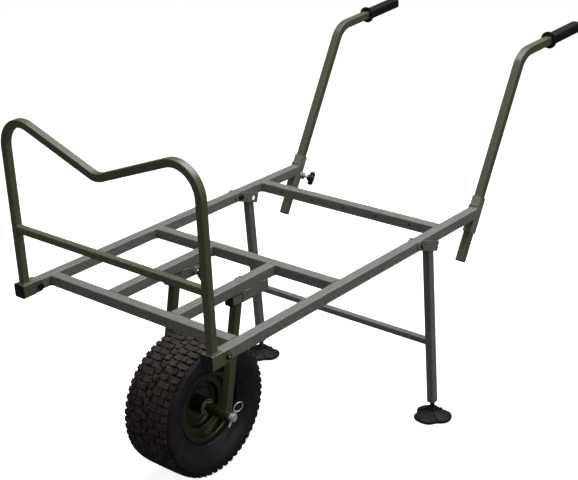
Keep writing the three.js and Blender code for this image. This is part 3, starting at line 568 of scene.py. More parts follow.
def tube_shape(line, side, wall, sideways, slopes=(0, 0)):
    """A hollow square tube along a line. A slope skews an end with the height across it."""
    (tubes,) = sizes("tubes")
    bore = side - 2 * wall
    outer = rounded_square(side, side)
    inner = rounded_corners(bore, bore, max(tubes.rounding - wall, tubes.rounding / 5))
    shape = bmesh.new()
    rings = []
    for i, (point, heading) in enumerate(line):
        upward = Vector(sideways).cross(heading).normalized()
        across = heading.cross(upward)
        slope = slopes[0] if i == 0 else slopes[1] if i == len(line) - 1 else 0
        climb = upward + heading * slope
        rings.append([loop_of(shape, [point + across * x + climb * y for x, y in ring])
                      for ring in (outer, inner)])
    for (outer_a, inner_a), (outer_b, inner_b) in zip(rings, rings[1:]):
        bridge(shape, outer_a, outer_b)
        bridge(shape, inner_a, inner_b)
    for ends in (rings[0], rings[-1]):
        bridge(shape, *ends)
    return shape


def straight_tube(start, end, side, wall, sideways, slopes=(0, 0)):
    return tube_shape(bent_line((start, end), ()), side, wall, sideways, slopes)


def lengthways_tube(x, start, end, z, side, wall, slopes=(0, 0)):
    return straight_tube((x, start, z), (x, end, z), side, wall, (-1, 0, 0), slopes)


def cross_tube(reach, y, z, side, wall):
    return straight_tube((-reach, y, z), (reach, y, z), side, wall, (0, 1, 0))


def upright_tube(low, high, side, wall, slopes=(0, 0)):
    return straight_tube((0, 0, low), (0, 0, high), side, wall, (1, 0, 0), slopes)


def resampled(points, spacing):
    """Points at even steps along a line of points."""
    points = [Vector(point) for point in points]
    lengths = [(after - before).length for before, after in zip(points, points[1:])]
    total = sum(lengths)
    steps = max(2, round(total / spacing))
    evenly = []
    for step in range(steps + 1):
        left = total * step / steps
        for before, after, run in zip(points, points[1:], lengths):
            if left <= run or after is points[-1]:
                evenly.append(before.lerp(after, min(1, left / run) if run else 0))
                break
            left -= run
    return evenly


def neighbours(spots, i):
    return spots[max(i - 1, 0)], spots[min(i + 1, len(spots) - 1)]


def bead_shape(points, shape):
    """Adds a rippled weld bead along a line of points."""
    (tubes,) = sizes("tubes")
    steps_per_ripple, ripple_share, end_taper_share = 3, 0.16, 0.5
    spots = resampled(points, tubes.ripple / steps_per_ripple)
    rings = []
    for i, spot in enumerate(spots):
        behind, ahead = neighbours(spots, i)
        heading = (ahead - behind).normalized()
        across = heading.orthogonal().normalized()
        if rings:
            across = (last - heading * last.dot(heading)).normalized()
        last = across
        upward = heading.cross(across)
        swell = 1 + ripple_share * math.cos(WHOLE_TURN * i / steps_per_ripple)
        if i in (0, len(spots) - 1):
            swell -= end_taper_share
        ring = []
        for angle in turns(8):
            x, y = polar(tubes.bead * swell, angle)
            ring.append(spot + across * x + upward * y)
        rings.append(ring)
    skin(shape, rings, capped=True)


def tube_seam(place, side, whole=False, height=None):
    """Line round a tube's end for its weld; the upper side stays bare unless whole is true.
    The matrix's x and y lie across the tube, with y upward."""
    corner_steps = 3
    ring = rounded_square(side, height or side, corner_steps)
    first = 0 if whole else 2 * corner_steps + 1
    return [place @ Vector((x, y, 0)) for x, y in ring[first:] + ring[:1]]


# Finishes


def node(tree, kind, inputs=None, **settings):
    """Adds a node beside the last one; its inputs are linked to sockets or set to values."""
    made = tree.nodes.new(kind if kind.startswith("NodeGroup") else f"ShaderNode{kind}")
    made.location.x = 200 * len(tree.nodes)
    for name, value in settings.items():
        setattr(made, name, value)
    for key, source in (inputs or {}).items():
        if isinstance(source, bpy.types.NodeSocket):
            tree.links.new(source, made.inputs[key])
        else:
            made.inputs[key].default_value = source
    return made


def group_tree(name, inputs):
    """A shader node group with its inputs."""
    tree = bpy.data.node_groups.new(name, "ShaderNodeTree")
    for label, default in inputs.items():
        kind = "NodeSocketFloat" if isinstance(default, float) else "NodeSocketColor"
        socket = tree.interface.new_socket(label, in_out="INPUT", socket_type=kind)
        socket.default_value = default
    return tree, node(tree, "NodeGroupInput").outputs


def group_outputs(tree, sources):
    """Ends a node group with its outputs."""
    for label, source in sources.items():
        kind = "NodeSocketColor" if source.type == "RGBA" else "NodeSocketFloat"
        tree.interface.new_socket(label, in_out="OUTPUT", socket_type=kind)
    node(tree, "NodeGroupOutput", sources)
    return tree


def mixed(tree, factor, first, second, blend="MIX"):
    inputs = {0: factor, 6: first, 7: second}
    return node(tree, "Mix", inputs, data_type="RGBA", blend_type=blend).outputs[2]


def ranged(tree, value, low, high, to_low, to_high):
    """Maps a value from one range to another and holds it there."""
    inputs = {"Value": value, "From Min": low, "From Max": high, "To Min": to_low, "To Max": to_high}
    return node(tree, "MapRange", inputs).outputs["Result"]


def worked_out(tree, operation, first, second):
    return node(tree, "Math", {0: first, 1: second}, operation=operation).outputs[0]


def noise(tree, scale, detail=3, roughness=0.5):
    """Noise over the object's own coordinates, its scale per metre."""
    spot = node(tree, "TexCoord").outputs["Object"]
    inputs = {"Vector": spot, "Scale": scale, "Detail": detail, "Roughness": roughness}
    return node(tree, "TexNoise", inputs).outputs["Fac"]


def varied(tree, roughness, field, smoother, rougher):
    """A roughness that follows a field between a little smoother and a little rougher."""
    low = worked_out(tree, "SUBTRACT", roughness, smoother)
    high = worked_out(tree, "ADD", roughness, rougher)
    return ranged(tree, field, 0.3, 0.7, low, high)


def coat_tone_group(name):
    """A coat on metal: slow changes of tone, fine specks and orange-peel height."""
    grey = (0.2, 0.2, 0.2, 1)
    inputs = {"Colour": grey, "Peel Scale": 900.0, "Tone Change": 0.12, "Roughness": 0.4}
    tree, given = group_tree(name, inputs)
    tone = worked_out(tree, "MULTIPLY", noise(tree, 9.0, 4), given["Tone Change"])
    deeper = mixed(tree, 1.0, given["Colour"], (0.72, 0.72, 0.70, 1), "MULTIPLY")
    shaded = mixed(tree, tone, given["Colour"], deeper)
    speck = ranged(tree, noise(tree, 2600.0, 2), 0.60, 0.78, 0.0, 0.35)
    bright = mixed(tree, 1.0, given["Colour"], (1.35, 1.35, 1.3, 1), "MULTIPLY")
    outputs = {
        "Colour": mixed(tree, speck, shaded, bright),
        "Roughness": varied(tree, given["Roughness"], noise(tree, 40.0, 3), 0.06, 0.08),
        "Height": noise(tree, given["Peel Scale"], 2),
    }
    return group_outputs(tree, outputs)


def edge_highlight_group(name):
    """Painted highlight: paint made lighter along sharp edges, broken up by noise."""
    inputs = {"Colour": (0.2, 0.2, 0.2, 1), "Rubbed": (0.4, 0.4, 0.4, 1), "Amount": 0.5}
    tree, given = group_tree(name, inputs)
    shape = node(tree, "NewGeometry").outputs
    edges = ranged(tree, shape["Pointiness"], 0.52, 0.62, 0.0, 1.0)
    broken = ranged(tree, noise(tree, 160.0, 5), 0.42, 0.62, 0.0, 1.0)
    mask = worked_out(tree, "MULTIPLY", edges, broken)
    amount = worked_out(tree, "MULTIPLY", mask, given["Amount"])
    coloured = mixed(tree, amount, given["Colour"], given["Rubbed"])
    return group_outputs(tree, {"Colour": coloured, "Mask": amount})


def moulded_group(name):
    """Moulded plastic or rubber: a fine grain in the surface and faint cloudy tone."""
    black, dull = (0.02, 0.02, 0.02, 1), (0.05, 0.05, 0.05, 1)
    inputs = {"Colour": black, "Dull": dull, "Grain Scale": 1500.0, "Roughness": 0.5}
    tree, given = group_tree(name, inputs)
    cloud = ranged(tree, noise(tree, 60.0, 4), 0.4, 0.75, 0.0, 0.5)
    grain = noise(tree, given["Grain Scale"], 3, 0.6)
    outputs = {
        "Colour": mixed(tree, cloud, given["Colour"], given["Dull"]),
        "Roughness": varied(tree, given["Roughness"], grain, 0.08, 0.1),
        "Height": grain,
    }
    return group_outputs(tree, outputs)


def dust_group(name):
    """Dry dust that settles in patches."""
    inputs = {"Colour": (0.02, 0.02, 0.02, 1), "Dust": (0.12, 0.1, 0.08, 1), "Amount": 0.3}
    tree, given = group_tree(name, inputs)
    mask = ranged(tree, noise(tree, 55.0, 6, 0.6), 0.38, 0.68, 0.0, 1.0)
    amount = worked_out(tree, "MULTIPLY", mask, given["Amount"])
    return group_outputs(tree, {"Colour": mixed(tree, amount, given["Colour"], given["Dust"])})


SHARED_GROUPS = {
    "Coat tone": coat_tone_group,
    "Edge rub": edge_highlight_group,
    "Moulded grain": moulded_group,
    "Dry dust": dust_group,
}


def grouped(tree, name, inputs):
    """Adds a shared node group, which is made the first time, and gives its outputs."""
    shared = bpy.data.node_groups.get(name) or SHARED_GROUPS[name](name)
    return node(tree, "Group", inputs, node_tree=shared).outputs


def bare_material(name):
    finish = bpy.data.materials.new(name)
    finish.use_nodes = True
    finish.node_tree.nodes.clear()
    return finish, finish.node_tree


def shaded(finish, height, strength, distance, inputs):
    """Ends a material with a bumped shader."""
    tree = finish.node_tree
    bump = node(tree, "Bump", {"Height": height, "Strength": strength, "Distance": distance})
    shader = node(tree, "BsdfPrincipled", inputs | {"Normal": bump.outputs["Normal"]})
    node(tree, "OutputMaterial", {"Surface": shader.outputs["BSDF"]})
    return finish


def toned(tone, gain=1):
    return (*(min(1, channel * gain) for channel in tone), 1)


def paint_material(name, tone, roughness, coat, highlight_amount, highlight_gain):
    """Painted tube: a coat with a painted highlight along its sharp edges under a thin clear layer."""
    finish, tree = bare_material(name)
    look = {"Colour": toned(tone), "Roughness": roughness, "Tone Change": 0.12}
    coated = grouped(tree, "Coat tone", look)
    # Sharp edges get a painted highlight, a lighter tone of the paint
    highlighting = {"Colour": coated["Colour"], "Rubbed": toned(tone, highlight_gain), "Amount": highlight_amount}
    inputs = {
        "Base Color": grouped(tree, "Edge rub", highlighting)["Colour"],
        "Roughness": coated["Roughness"],
        "Coat Weight": coat,
        "Coat Roughness": 0.25,
    }
    return shaded(finish, coated["Height"], 0.12, 0.0002, inputs)


def moulded_material(name, tone, roughness, grain=1500.0, bump=0.25, dust=0.0):
    finish, tree = bare_material(name)
    look = {"Colour": toned(tone), "Dull": toned(tone, 1.7)}
    look |= {"Roughness": roughness, "Grain Scale": grain}
    moulded = grouped(tree, "Moulded grain", look)
    last = moulded["Colour"]
    if dust:
        dusting = {"Colour": last, "Dust": (0.105, 0.088, 0.078, 1), "Amount": dust}
        last = grouped(tree, "Dry dust", dusting)["Colour"]
    inputs = {"Base Color": last, "Roughness": moulded["Roughness"], "Specular IOR Level": 0.3}
    return shaded(finish, moulded["Height"], bump, 0.0002, inputs)


def metal_material(name, tone, roughness):
    finish, tree = bare_material(name)
    look = {"Colour": toned(tone), "Roughness": roughness, "Tone Change": 0.4, "Peel Scale": 2200.0}
    coated = grouped(tree, "Coat tone", look)
    inputs = {"Base Color": coated["Colour"], "Roughness": coated["Roughness"], "Metallic": 0.55}
    return shaded(finish, coated["Height"], 0.08, 0.0001, inputs)


# Each finish's slot in the record, its maker, its colour and the maker's settings
FINISHES = {
    "Frame paint": ("frame_paint", paint_material, "frame", 0.42, 0.15, 0.35, 1.8),
    # Painted shade on the fork's legs and their welds
    "Fork paint": ("frame_paint", paint_material, "fork", 0.36, 0.3, 0.3, 1.8),
    # Painted shade on the axle sleeves
    "Sleeve paint": ("frame_paint", paint_material, "sleeve", 0.45, 0.1, 0.3, 1.8),
    "Load bar paint": ("bar_paint", paint_material, "bar", 0.34, 0.35, 0.3, 2.0),
    # The rim's edges get a strong painted highlight
    "Rim paint": ("rim_paint", paint_material, "rim", 0.2, 0.22, 0.6, 4.0),
    "Black plastic": ("black_plastic", moulded_material, "plastic", 0.42),
    "Black rubber": ("black_rubber", moulded_material, "rubber", 0.55, 1100.0, 0.35),
    "Tread rubber": ("tyre_rubber", moulded_material, "tread", 0.62, 700.0, 0.5, 0.5),
    "Sidewall rubber": ("tyre_rubber", moulded_material, "sidewall", 0.5, 900.0, 0.2, 0.12),
    "Bright steel": ("bright_steel", metal_material, "steel", 0.28),
    "Black steel": ("black_steel", moulded_material, "bolt", 0.35, 1800.0, 0.15),
}


def finish_of(name):
    """The material with this name, which is made the first time."""
    (colours,) = sizes("colours")
    _, maker, colour_name, *settings = FINISHES[name]
    return bpy.data.materials.get(name) or maker(name, getattr(colours, colour_name), *settings)


def object_of(name, shape):
    """Turns a shape into an object of the scene."""
    mesh = bpy.data.meshes.new(name)
    shape.to_mesh(mesh)
    shape.free()
    made = bpy.data.objects.new(name, mesh)
    bpy.context.scene.collection.objects.link(made)
    return made


def add_piece(name, shape, body, finishes, stands_for=None, place=Matrix(), sharp=32):
    """Makes a piece of a shape, gives it its finishes and lets it ride on a body."""
    finishes = [finishes] if isinstance(finishes, str) else finishes
    bmesh.ops.transform(shape, matrix=place, verts=shape.verts)
    bmesh.ops.recalc_face_normals(shape, faces=shape.faces)
    piece = object_of(name, shape)
    piece.data.shade_smooth()
    piece.data.set_sharp_from_angle(angle=math.radians(sharp))
    for finish in finishes:
        piece.data.materials.append(finish_of(finish))
    piece.modifiers.new("Flat faces", "WEIGHTED_NORMAL").keep_sharp = True
    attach(piece, body)
    if stands_for:
        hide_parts(stands_for)


def drilled(shape, holes):
    """The shape with round holes cut through it; a hole is a centre, an axis, a radius and a
    length."""
    bmesh.ops.recalc_face_normals(shape, faces=shape.faces)
    body = object_of("Undrilled", shape)
    made = [body]
    for centre, axis, radius, depth in holes:
        tool = bmesh.new()
        spin = Vector((0, 0, 1)).rotation_difference(Vector(axis)).to_matrix().to_4x4()
        bmesh.ops.create_cone(
            tool,
            segments=32,
            radius1=radius,
            radius2=radius,
            depth=depth,
            cap_ends=True,
            matrix=moved(*centre) @ spin,
        )
        made.append(object_of("Drill", tool))
        cutter = body.modifiers.new("Hole", "BOOLEAN")
        cutter.operation = "DIFFERENCE"
        cutter.solver = "EXACT"
        cutter.object = made[-1]
    evaluated = body.evaluated_get(bpy.context.evaluated_depsgraph_get())
    cut = bmesh.new()
    cut.from_mesh(evaluated.to_mesh())
    evaluated.to_mesh_clear()
    for thing in made:
        bpy.data.meshes.remove(thing.data)
    return cut


def add_beads(name, body, finish, seams):
    """One piece for several weld beads."""
    shape = bmesh.new()
    for seam in seams:
        bead_shape(seam, shape)
    add_piece(name, shape, body, finish, sharp=180)


# Pieces


def weld_nut(outer_face, inner_face):
    """Hexagonal weld nut along +X with chamfered corners and an open thread."""
    (knobs,) = sizes("knobs")
    chamfer = knobs.nut_radius * 0.1
    bore = knobs.stud_radius * 1.1
    rings = [
        [(x, *point) for point in hexagon(knobs.nut_radius)]
        for x in (inner_face, outer_face - chamfer)
    ]
    for radius, x in (
        (knobs.nut_radius * 0.88, outer_face),
        (bore * 1.25, outer_face),
        (bore, outer_face - chamfer),
        (bore, inner_face),
    ):
        rings.append([(x, *polar(radius, angle)) for angle in turns(36)])
    shape = bmesh.new()
    skin(shape, rings, closed=True)
    return shape


def thread(radius, root_share, start, pitch, number, crest, root):
    """A thread's outline, with its crest and root at shares of each turn."""
    outline = []
    for i in range(number):
        outline.append((radius, start + (i + crest) * pitch))
        outline.append((radius * root_share, start + (i + root) * pitch))
    return outline


class BARROW_OT_deck(bpy.types.Operator):
    """Side rails, crossbars, inner rails, handle sleeves and fork receivers with their welds"""

    bl_idname = "barrow.deck"
    bl_label = "Deck Frame"

    def execute(self, context):
        tubes, deck, knobs = sizes("tubes", "deck", "knobs")
        place = deck_matrix()
        side, wall, gap = tubes.frame_side, tubes.frame_wall, tubes.gap
        rail_x, middle, reach = deck.rail_spacing / 2, -side / 2, side / 2 + gap
        body, finish = "frame", "Frame paint"
        weld_runs = ((0.06, 0.3), (0.7, 0.94))
        nut_sink = 0.62
        seams = []

        # Crossbars, with the row of holes in the rear one
        facing = spun(QUARTER_TURN, "Y") @ spun(QUARTER_TURN, "Z")
        for label, front in (("front", 0), ("middle", deck.middle_bar), ("rear", deck.rear_bar)):
            y = front + side / 2
            shape = cross_tube(rail_x - reach, y, middle, side, wall)
            if label == "rear":
                holes = []
                for i in range(deck.hole_count):
                    x = (i - (deck.hole_count - 1) / 2) * deck.hole_spacing
                    holes.append(((x, front, middle), (0, 1, 0), deck.hole_radius, side))
                shape = drilled(shape, holes)
            add_piece(f"{label}_bar", shape, body, finish, f"{label}_crossbar", place)
            for sign in (1, -1):
                end = place @ moved(sign * (rail_x - side / 2), y, middle)
                seams.append(tube_seam(end @ facing, side))

        for label, outboard in SIDES:
            # Side rail, its back end cut to the sleeve's lean
            end = deck.sleeve_place - reach / math.cos(deck.handle_lean)
            slopes = (0, -math.tan(deck.handle_lean))
            shape = lengthways_tube(outboard * rail_x, -deck.nose, end, middle, side, wall, slopes)
            add_piece(f"rail_{label}", shape, body, finish, f"side_rail_{label}", place)

            # Inner rail
            x = outboard * deck.inner_spacing / 2
            shape = lengthways_tube(x, side + gap, deck.middle_bar - gap, middle, side, wall)
            add_piece(f"short_rail_{label}", shape, body, finish, f"inner_rail_{label}", place)
            for y in (side, deck.middle_bar):
                seams.append(tube_seam(place @ moved(x, y, middle) @ spun(QUARTER_TURN, "X"), side))

            # Fork receiver, with weld runs along the inner rail's underside
            start, run = deck.receiver_place, deck.receiver_length
            shape = lengthways_tube(x, start, start + run, receiver_drop(), side, wall)
            add_piece(f"receiver_{label}", shape, body, finish, f"fork_receiver_{label}", place)
            for sign in (1, -1):
                for shares in weld_runs:
                    spots = [Vector((x + sign * side / 2, start + run * s, -side)) for s in shares]
                    seams.append([place @ spot for spot in spots])
            sleeve_nut, receiver_nut = knob_places(outboard)
            shape = weld_nut(side / 2 + knobs.nut_length, side / 2)
            add_piece(f"receiver_nut_{label}", shape, body, finish, place=receiver_nut)

            # Handle sleeve across the rail's end, with its nut on the inner back corner
            sleeve = sleeve_matrix(outboard)
            shape = upright_tube(-deck.sleeve_below, deck.sleeve_above, side, wall)
            add_piece(f"sleeve_{label}", shape, body, finish, f"handle_sleeve_{label}", sleeve)
            corner = corner_reach(side)
            shape = weld_nut(corner + knobs.nut_length, corner * nut_sink)
            add_piece(f"sleeve_nut_{label}", shape, body, finish, place=sleeve_nut)
            stretch = Matrix.Diagonal((1, 1 / math.cos(deck.handle_lean), 1, 1))
            ring = sleeve @ moved(y=-side / 2) @ spun(QUARTER_TURN, "X") @ stretch
            seams.append(tube_seam(ring, side, True))
        add_beads("frame_welds", body, finish, seams)
        return {"FINISHED"}


class BARROW_OT_load_bar(bpy.types.Operator):
    """Folding load bar: its hoop, crossbar, base blocks and end caps"""

    bl_idname = "barrow.load_bar"
    bl_label = "Load Bar"

    def execute(self, context):
        tubes, deck, bar, handles = sizes("tubes", "deck", "load_bar", "handles")
        place = deck_matrix()
        rail_x, middle = deck.rail_spacing / 2, -tubes.frame_side / 2
        block = tubes.frame_side + 2 * (tubes.gap + bar.base_wall)
        foot = middle + block / 2 + tubes.gap
        body, finish = "load_bar", "Load bar paint"
        corners = (
            (rail_x, bar.place, foot),
            (rail_x, bar.place, bar.shoulder),
            (0, bar.place, bar.shoulder - bar.dip),
            (-rail_x, bar.place, bar.shoulder),
            (-rail_x, bar.place, foot),
        )
        line = bent_line(corners, (bar.shoulder_bend, bar.dip_bend, bar.shoulder_bend), 24)
        shape = tube_shape(line, tubes.hoop_side, tubes.hoop_wall, (0, 1, 0))
        add_piece("hoop", shape, body, finish, "load_bar_hoop", place, 40)

        reach = rail_x - tubes.hoop_side / 2
        half, height = reach - tubes.gap, bar.bar_height
        shape = cross_tube(half, bar.place, height, tubes.brace_side, tubes.brace_wall)
        add_piece("hoop_bar", shape, body, finish, "load_bar_crossbar", place)

        seams = []
        walls_end = -deck.nose - tubes.gap
        cheeks_end = bar.pivot + bar.cheek
        cheek_rise = block / 2 - tubes.rounding
        cheek_outline = filleted(
            (
                (walls_end, -cheek_rise),
                (cheeks_end, -cheek_rise),
                (cheeks_end, cheek_rise),
                (walls_end, cheek_rise),
            ),
            block / 5,
        )
        for label, outboard in SIDES:
            x = outboard * rail_x
            end = place @ moved(outboard * reach, bar.place, height) @ spun(QUARTER_TURN, "Y")
            seams.append(tube_seam(end, tubes.brace_side, True))
            seams.append(tube_seam(place @ moved(x, bar.place, foot), tubes.hoop_side, True))

            # Base block: a whole square ahead of the rail's nose, then two cheeks beside the rail
            shape = lengthways_tube(x, bar.base_front, walls_end, middle, block, bar.base_wall)
            add_piece(f"base_block_{label}", shape, body, finish, f"load_bar_base_{label}", place)
            cheeks = bmesh.new()
            for inner in (x + block / 2 - bar.base_wall, x - block / 2):
                plate = prism_shape(cheek_outline, 0, bar.base_wall, tubes.rounding / 6)
                absorb(cheeks, plate, moved(inner, 0, middle) @ SIDE_ON)
            add_piece(f"base_cheeks_{label}", cheeks, body, finish, place=place)

            # Cap in the block's front end
            head = handles.plug_head
            shape = prism_shape(rounded_square(block, block), 0, head, head / 3)
            front = place @ moved(x, bar.base_front - tubes.gap, middle) @ spun(QUARTER_TURN, "X")
            name = f"load_bar_cap_{label}"
            add_piece(f"base_cap_{label}", shape, body, "Black plastic", name, front)
        add_beads("load_bar_welds", body, finish, seams)
        return {"FINISHED"}


class BARROW_OT_legs(bpy.types.Operator):
    """Folding rear legs: brackets, tubes, brace and threaded foot stems"""

    bl_idname = "barrow.legs"
    bl_label = "Rear Legs"

    def execute(self, context):
        tubes, deck, legs = sizes("tubes", "deck", "legs")
        body, finish = "legs", "Frame paint"
        side, middle = tubes.light_side, -tubes.frame_side / 2
        inner = tubes.frame_side / 2 + tubes.gap
        outer = inner + legs.cheek
        half = legs.height / 2
        seams = []

        # Channel bracket: two cheeks with round noses and a web under them
        cheek = [(legs.tail, -half), (legs.tail, half)]
        nose_steps = 16
        for step in range(nose_steps + 1):
            y, z = polar(half, math.pi / 2 + math.pi * step / nose_steps)
            cheek.append((half - legs.nose + y, z))
        web_top = legs.web - half
        web_start = (inner + web_top * math.cos(legs.slope)) / math.sin(legs.slope)
        web = [(-inner, web_start), (inner, web_start), (inner, legs.tail), (-inner, legs.tail)]
        for label, outboard in SIDES:
            channel = bmesh.new()
            absorb(channel, prism_shape(cheek, inner, outer, FINE), SIDE_ON)
            absorb(channel, prism_shape(cheek, -outer, -inner, FINE), SIDE_ON)
            absorb(channel, prism_shape(web, -half, web_top))
            hole = (-outboard * (outer - legs.cheek / 2), legs.hole, 0)
            channel = drilled(channel, [(hole, (1, 0, 0), legs.hole_radius, legs.cheek * 2)])
            bracket = rail_matrix(outboard, legs.pivot) @ spun(-legs.slope, "X")
            add_piece(f"bracket_{label}", channel, body, finish, f"leg_bracket_{label}", bracket)

            # Leg tube, cut to the bracket's slope at its top
            leg = leg_matrix(outboard)
            slant = legs.slope + legs.lean
            top = -(half + tubes.gap + legs.setback * math.sin(legs.slope)) / math.cos(slant)
            slopes = (0, math.tan(slant))
            shape = upright_tube(-legs.length, top, side, tubes.light_wall, slopes)
            add_piece(f"leg_{label}", shape, body, finish, f"leg_tube_{label}", leg)
            seat = leg @ moved(z=top) @ spun(-slant, "X")
            seams.append(tube_seam(seat, side, True, side / math.cos(slant)))
            self.stem(label, leg)

        # Brace between the legs
        reach = (deck.rail_spacing - side) / 2
        y = legs.pivot + legs.setback + legs.brace_drop * math.tan(legs.lean)
        shape = cross_tube(reach - tubes.gap, 0, 0, tubes.brace_side, tubes.brace_wall)
        brace = deck_matrix() @ moved(0, y, middle - legs.brace_drop) @ spun(legs.lean, "X")
        add_piece("brace", shape, body, finish, "leg_brace", brace)
        for _, outboard in SIDES:
            end = brace @ moved(outboard * reach) @ spun(QUARTER_TURN, "Y")
            seams.append(tube_seam(end, tubes.brace_side, True))
        add_beads("leg_welds", body, finish, seams)
        return {"FINISHED"}

    def stem(self, label, leg):
        """Threaded stem with its ball, and its plug in the leg."""
        tubes, legs, feet, handles = sizes("tubes", "legs", "feet", "handles")
        flange = handles.plug_head
        top = feet.stem_length - tubes.gap - flange
        pitch = 0.0016
        low = feet.ball_radius * 0.82
        outline = [(0, -feet.ball_radius * 0.98)]
        for step in range(1, 12):
            outline.append(polar(feet.ball_radius, step * math.pi / 15 - QUARTER_TURN))
        outline.append((feet.stem_radius, low))
        outline += thread(feet.stem_radius, 0.87, low, pitch, int((top - low) / pitch), 0.35, 0.75)
        outline += [(feet.stem_radius, top), (0, top)]
        shape = turned_shape(outline, "Z", 32, closed=False)
        place = leg @ moved(z=-legs.length - feet.stem_length)
        finish = "Black plastic"
        add_piece(f"stem_{label}", shape, "legs", finish, f"foot_stem_{label}", place)
        square = rounded_square(tubes.light_side, tubes.light_side)
        shape = prism_shape(square, top, top + flange, flange / 4)
        add_piece(f"leg_plug_{label}", shape, "legs", finish, place=place)


class BARROW_OT_feet(bpy.types.Operator):
    """Round rubber feet: lobed dishes with a hub and ribs"""

    bl_idname = "barrow.feet"
    bl_label = "Feet"

    def execute(self, context):
        (feet,) = sizes("feet")
        base, hub = -feet.ball_height, feet.ball_radius * 1.28
        wave_rise, rib_half = 0.001, 0.0013
        # Radii, and shares of the height
        sketch = (
            (0.0, 0),
            (feet.radius * 0.9, 0),
            (feet.radius, 0.1),
            (feet.radius, 0.3),
            (feet.radius * 0.86, 0.44),
            (feet.radius * 0.45, 0.62),
            (hub * 1.08, 0.74),
            (hub, 1),
            (hub * 0.84, 1),
            (hub * 0.8, 0.9),
            (hub * 0.55, 0.86),
        )
        profile = filleted([(r, base + feet.height * share) for r, share in sketch], 0.004, 4)
        ridge = ((hub * 0.98, 0.93), (feet.radius * 0.5, 0.66), (feet.radius * 0.76, 0.5))
        ridge = [(r, base + feet.height * share) for r, share in ridge]
        rib_outline = ridge + [(r, height - feet.height * 0.2) for r, height in ridge[::-1]]
        for label, _ in SIDES:
            rings = []
            for radius, height in profile[1:]:
                share = min(1, max(0, (radius - hub) / (feet.radius - hub)))
                ring = []
                for angle in turns(feet.lobes * 32):
                    wave = math.cos(feet.lobes * (angle - feet.lobe_turn))
                    reach = radius - feet.lobe_depth * share * ((1 - wave) / 2) ** 3
                    rise = wave_rise * share * (1 - share * 0.4) * wave
                    lift = rise if height > base + feet.height * 0.2 else 0
                    ring.append((*polar(reach, angle), height + lift))
                rings.append(ring)
            shape = bmesh.new()
            loops = skin(shape, rings)
            middle = shape.verts.new((0, 0, base))
            for here, after in zip(loops[0], loops[0][1:] + loops[0][:1]):
                shape.faces.new((here, after, middle))
            shape.faces.new(loops[-1])
            place = Matrix.Translation(JOINTS[f"foot_{label}_tilt"]["pos_m"])
            body, finish = f"foot_{label}", "Black rubber"
            add_piece(f"pad_{label}", shape, body, finish, body, place, 50)

            ribs = bmesh.new()
            for angle in turns(feet.lobes):
                angle += math.pi / feet.lobes + feet.lobe_turn
                rib = prism_shape(rib_outline, -rib_half, rib_half, FINE, 1)
                absorb(ribs, rib, spun(angle, "Z") @ spun(QUARTER_TURN, "X"))
            add_piece(f"pad_ribs_{label}", ribs, body, finish, place=place)
        return {"FINISHED"}


class BARROW_OT_fork(bpy.types.Operator):
    """Plug-in fork: arms, caps, legs, axle sleeves and axle"""

    bl_idname = "barrow.fork"
    bl_label = "Fork"

    def execute(self, context):
        tubes, fork, deck, wheel = sizes("tubes", "fork", "deck", "wheel")
        place, axle = deck_matrix(), axle_matrix()
        side, wall, gap = tubes.light_side, tubes.light_wall, tubes.gap
        low = receiver_drop()
        front = deck.receiver_place - fork.arm_nose
        # The fork's legs and welds take frame paint darkened as painted shade
        body, finish = "fork", "Fork paint"
        seams = []
        for label, outboard in SIDES:
            x = outboard * deck.inner_spacing / 2
            end = deck.receiver_place + fork.arm_inside
            shape = lengthways_tube(x, front, end, low, side, wall)
            add_piece(f"arm_{label}", shape, body, "Frame paint", f"fork_arm_{label}", place)

            square = rounded_square(fork.cap_side, fork.cap_side)
            shape = prism_shape(square, 0, fork.cap_head, fork.cap_head / 4)
            cap = place @ moved(x, front - gap, low) @ spun(QUARTER_TURN, "X")
            add_piece(f"arm_cap_{label}", shape, body, "Black plastic", f"fork_cap_{label}", cap)

            # Leg from the arm's underside to the axle sleeve, hollowed to sit on it
            top = (fork.axle_drop + low - side / 2 - gap) / math.cos(fork.lean)
            shape = upright_tube(0, top, side, wall, (0, -math.tan(fork.lean)))
            saddle = fork.sleeve_radius + gap
            shape = drilled(shape, [((0, 0, 0), (1, 0, 0), saddle, side * 2)])
            leg = axle @ moved(x) @ spun(-fork.lean, "X")
            add_piece(f"fork_side_{label}", shape, body, finish, f"fork_leg_{label}", leg)
            seat = leg @ moved(z=top) @ spun(fork.lean, "X")
            seams.append(tube_seam(seat, side, True, side / math.cos(fork.lean)))
            foot = tube_seam(Matrix(), side, True)
            seams.append([leg @ Vector((x, y, math.sqrt(saddle**2 - y**2))) for x, y, _ in foot])

            # Axle sleeve from the hub out past the leg, with a slimmer neck at the bearing
            inner = wheel.hub_half + gap
            bore = fork.axle_radius + gap
            outline = filleted(
                (
                    (bore, inner),
                    (fork.neck_radius, inner),
                    (fork.neck_radius, inner + fork.neck_length),
                    (fork.sleeve_radius, inner + fork.neck_length),
                    (fork.sleeve_radius, sleeve_end()),
                    (bore, sleeve_end()),
                ),
                SMALL,
            )
            shape = turned_shape(outline, "X", 48)
            name = f"fork_sleeve_{label}"
            spot = flipped(axle, outboard)
            # The axle sleeves take paint darkened as painted shade
            add_piece(f"axle_sleeve_{label}", shape, body, "Sleeve paint", name, spot)
        add_beads("fork_welds", body, finish, seams)

        # Axle with a chamfered end and a hexagonal head
        end = sleeve_end() + fork.overhang
        face = -(sleeve_end() + gap)
        chamfer = fork.axle_radius * 0.12
        outline = [
            (0, face - fork.head_length / 2),
            (fork.axle_radius, face - fork.head_length / 2),
            (fork.axle_radius, end - chamfer),
            (fork.axle_radius - chamfer, end),
            (0, end),
        ]
        shape = turned_shape(outline, "X", 40, closed=False)
        head = prism_shape(hexagon(fork.head_radius), -fork.head_length, 0, SMALL)
        absorb(shape, head, moved(face) @ spun(QUARTER_TURN, "Y"))
        add_piece("axle_rod", shape, body, "Bright steel", "axle", axle)
        return {"FINISHED"}


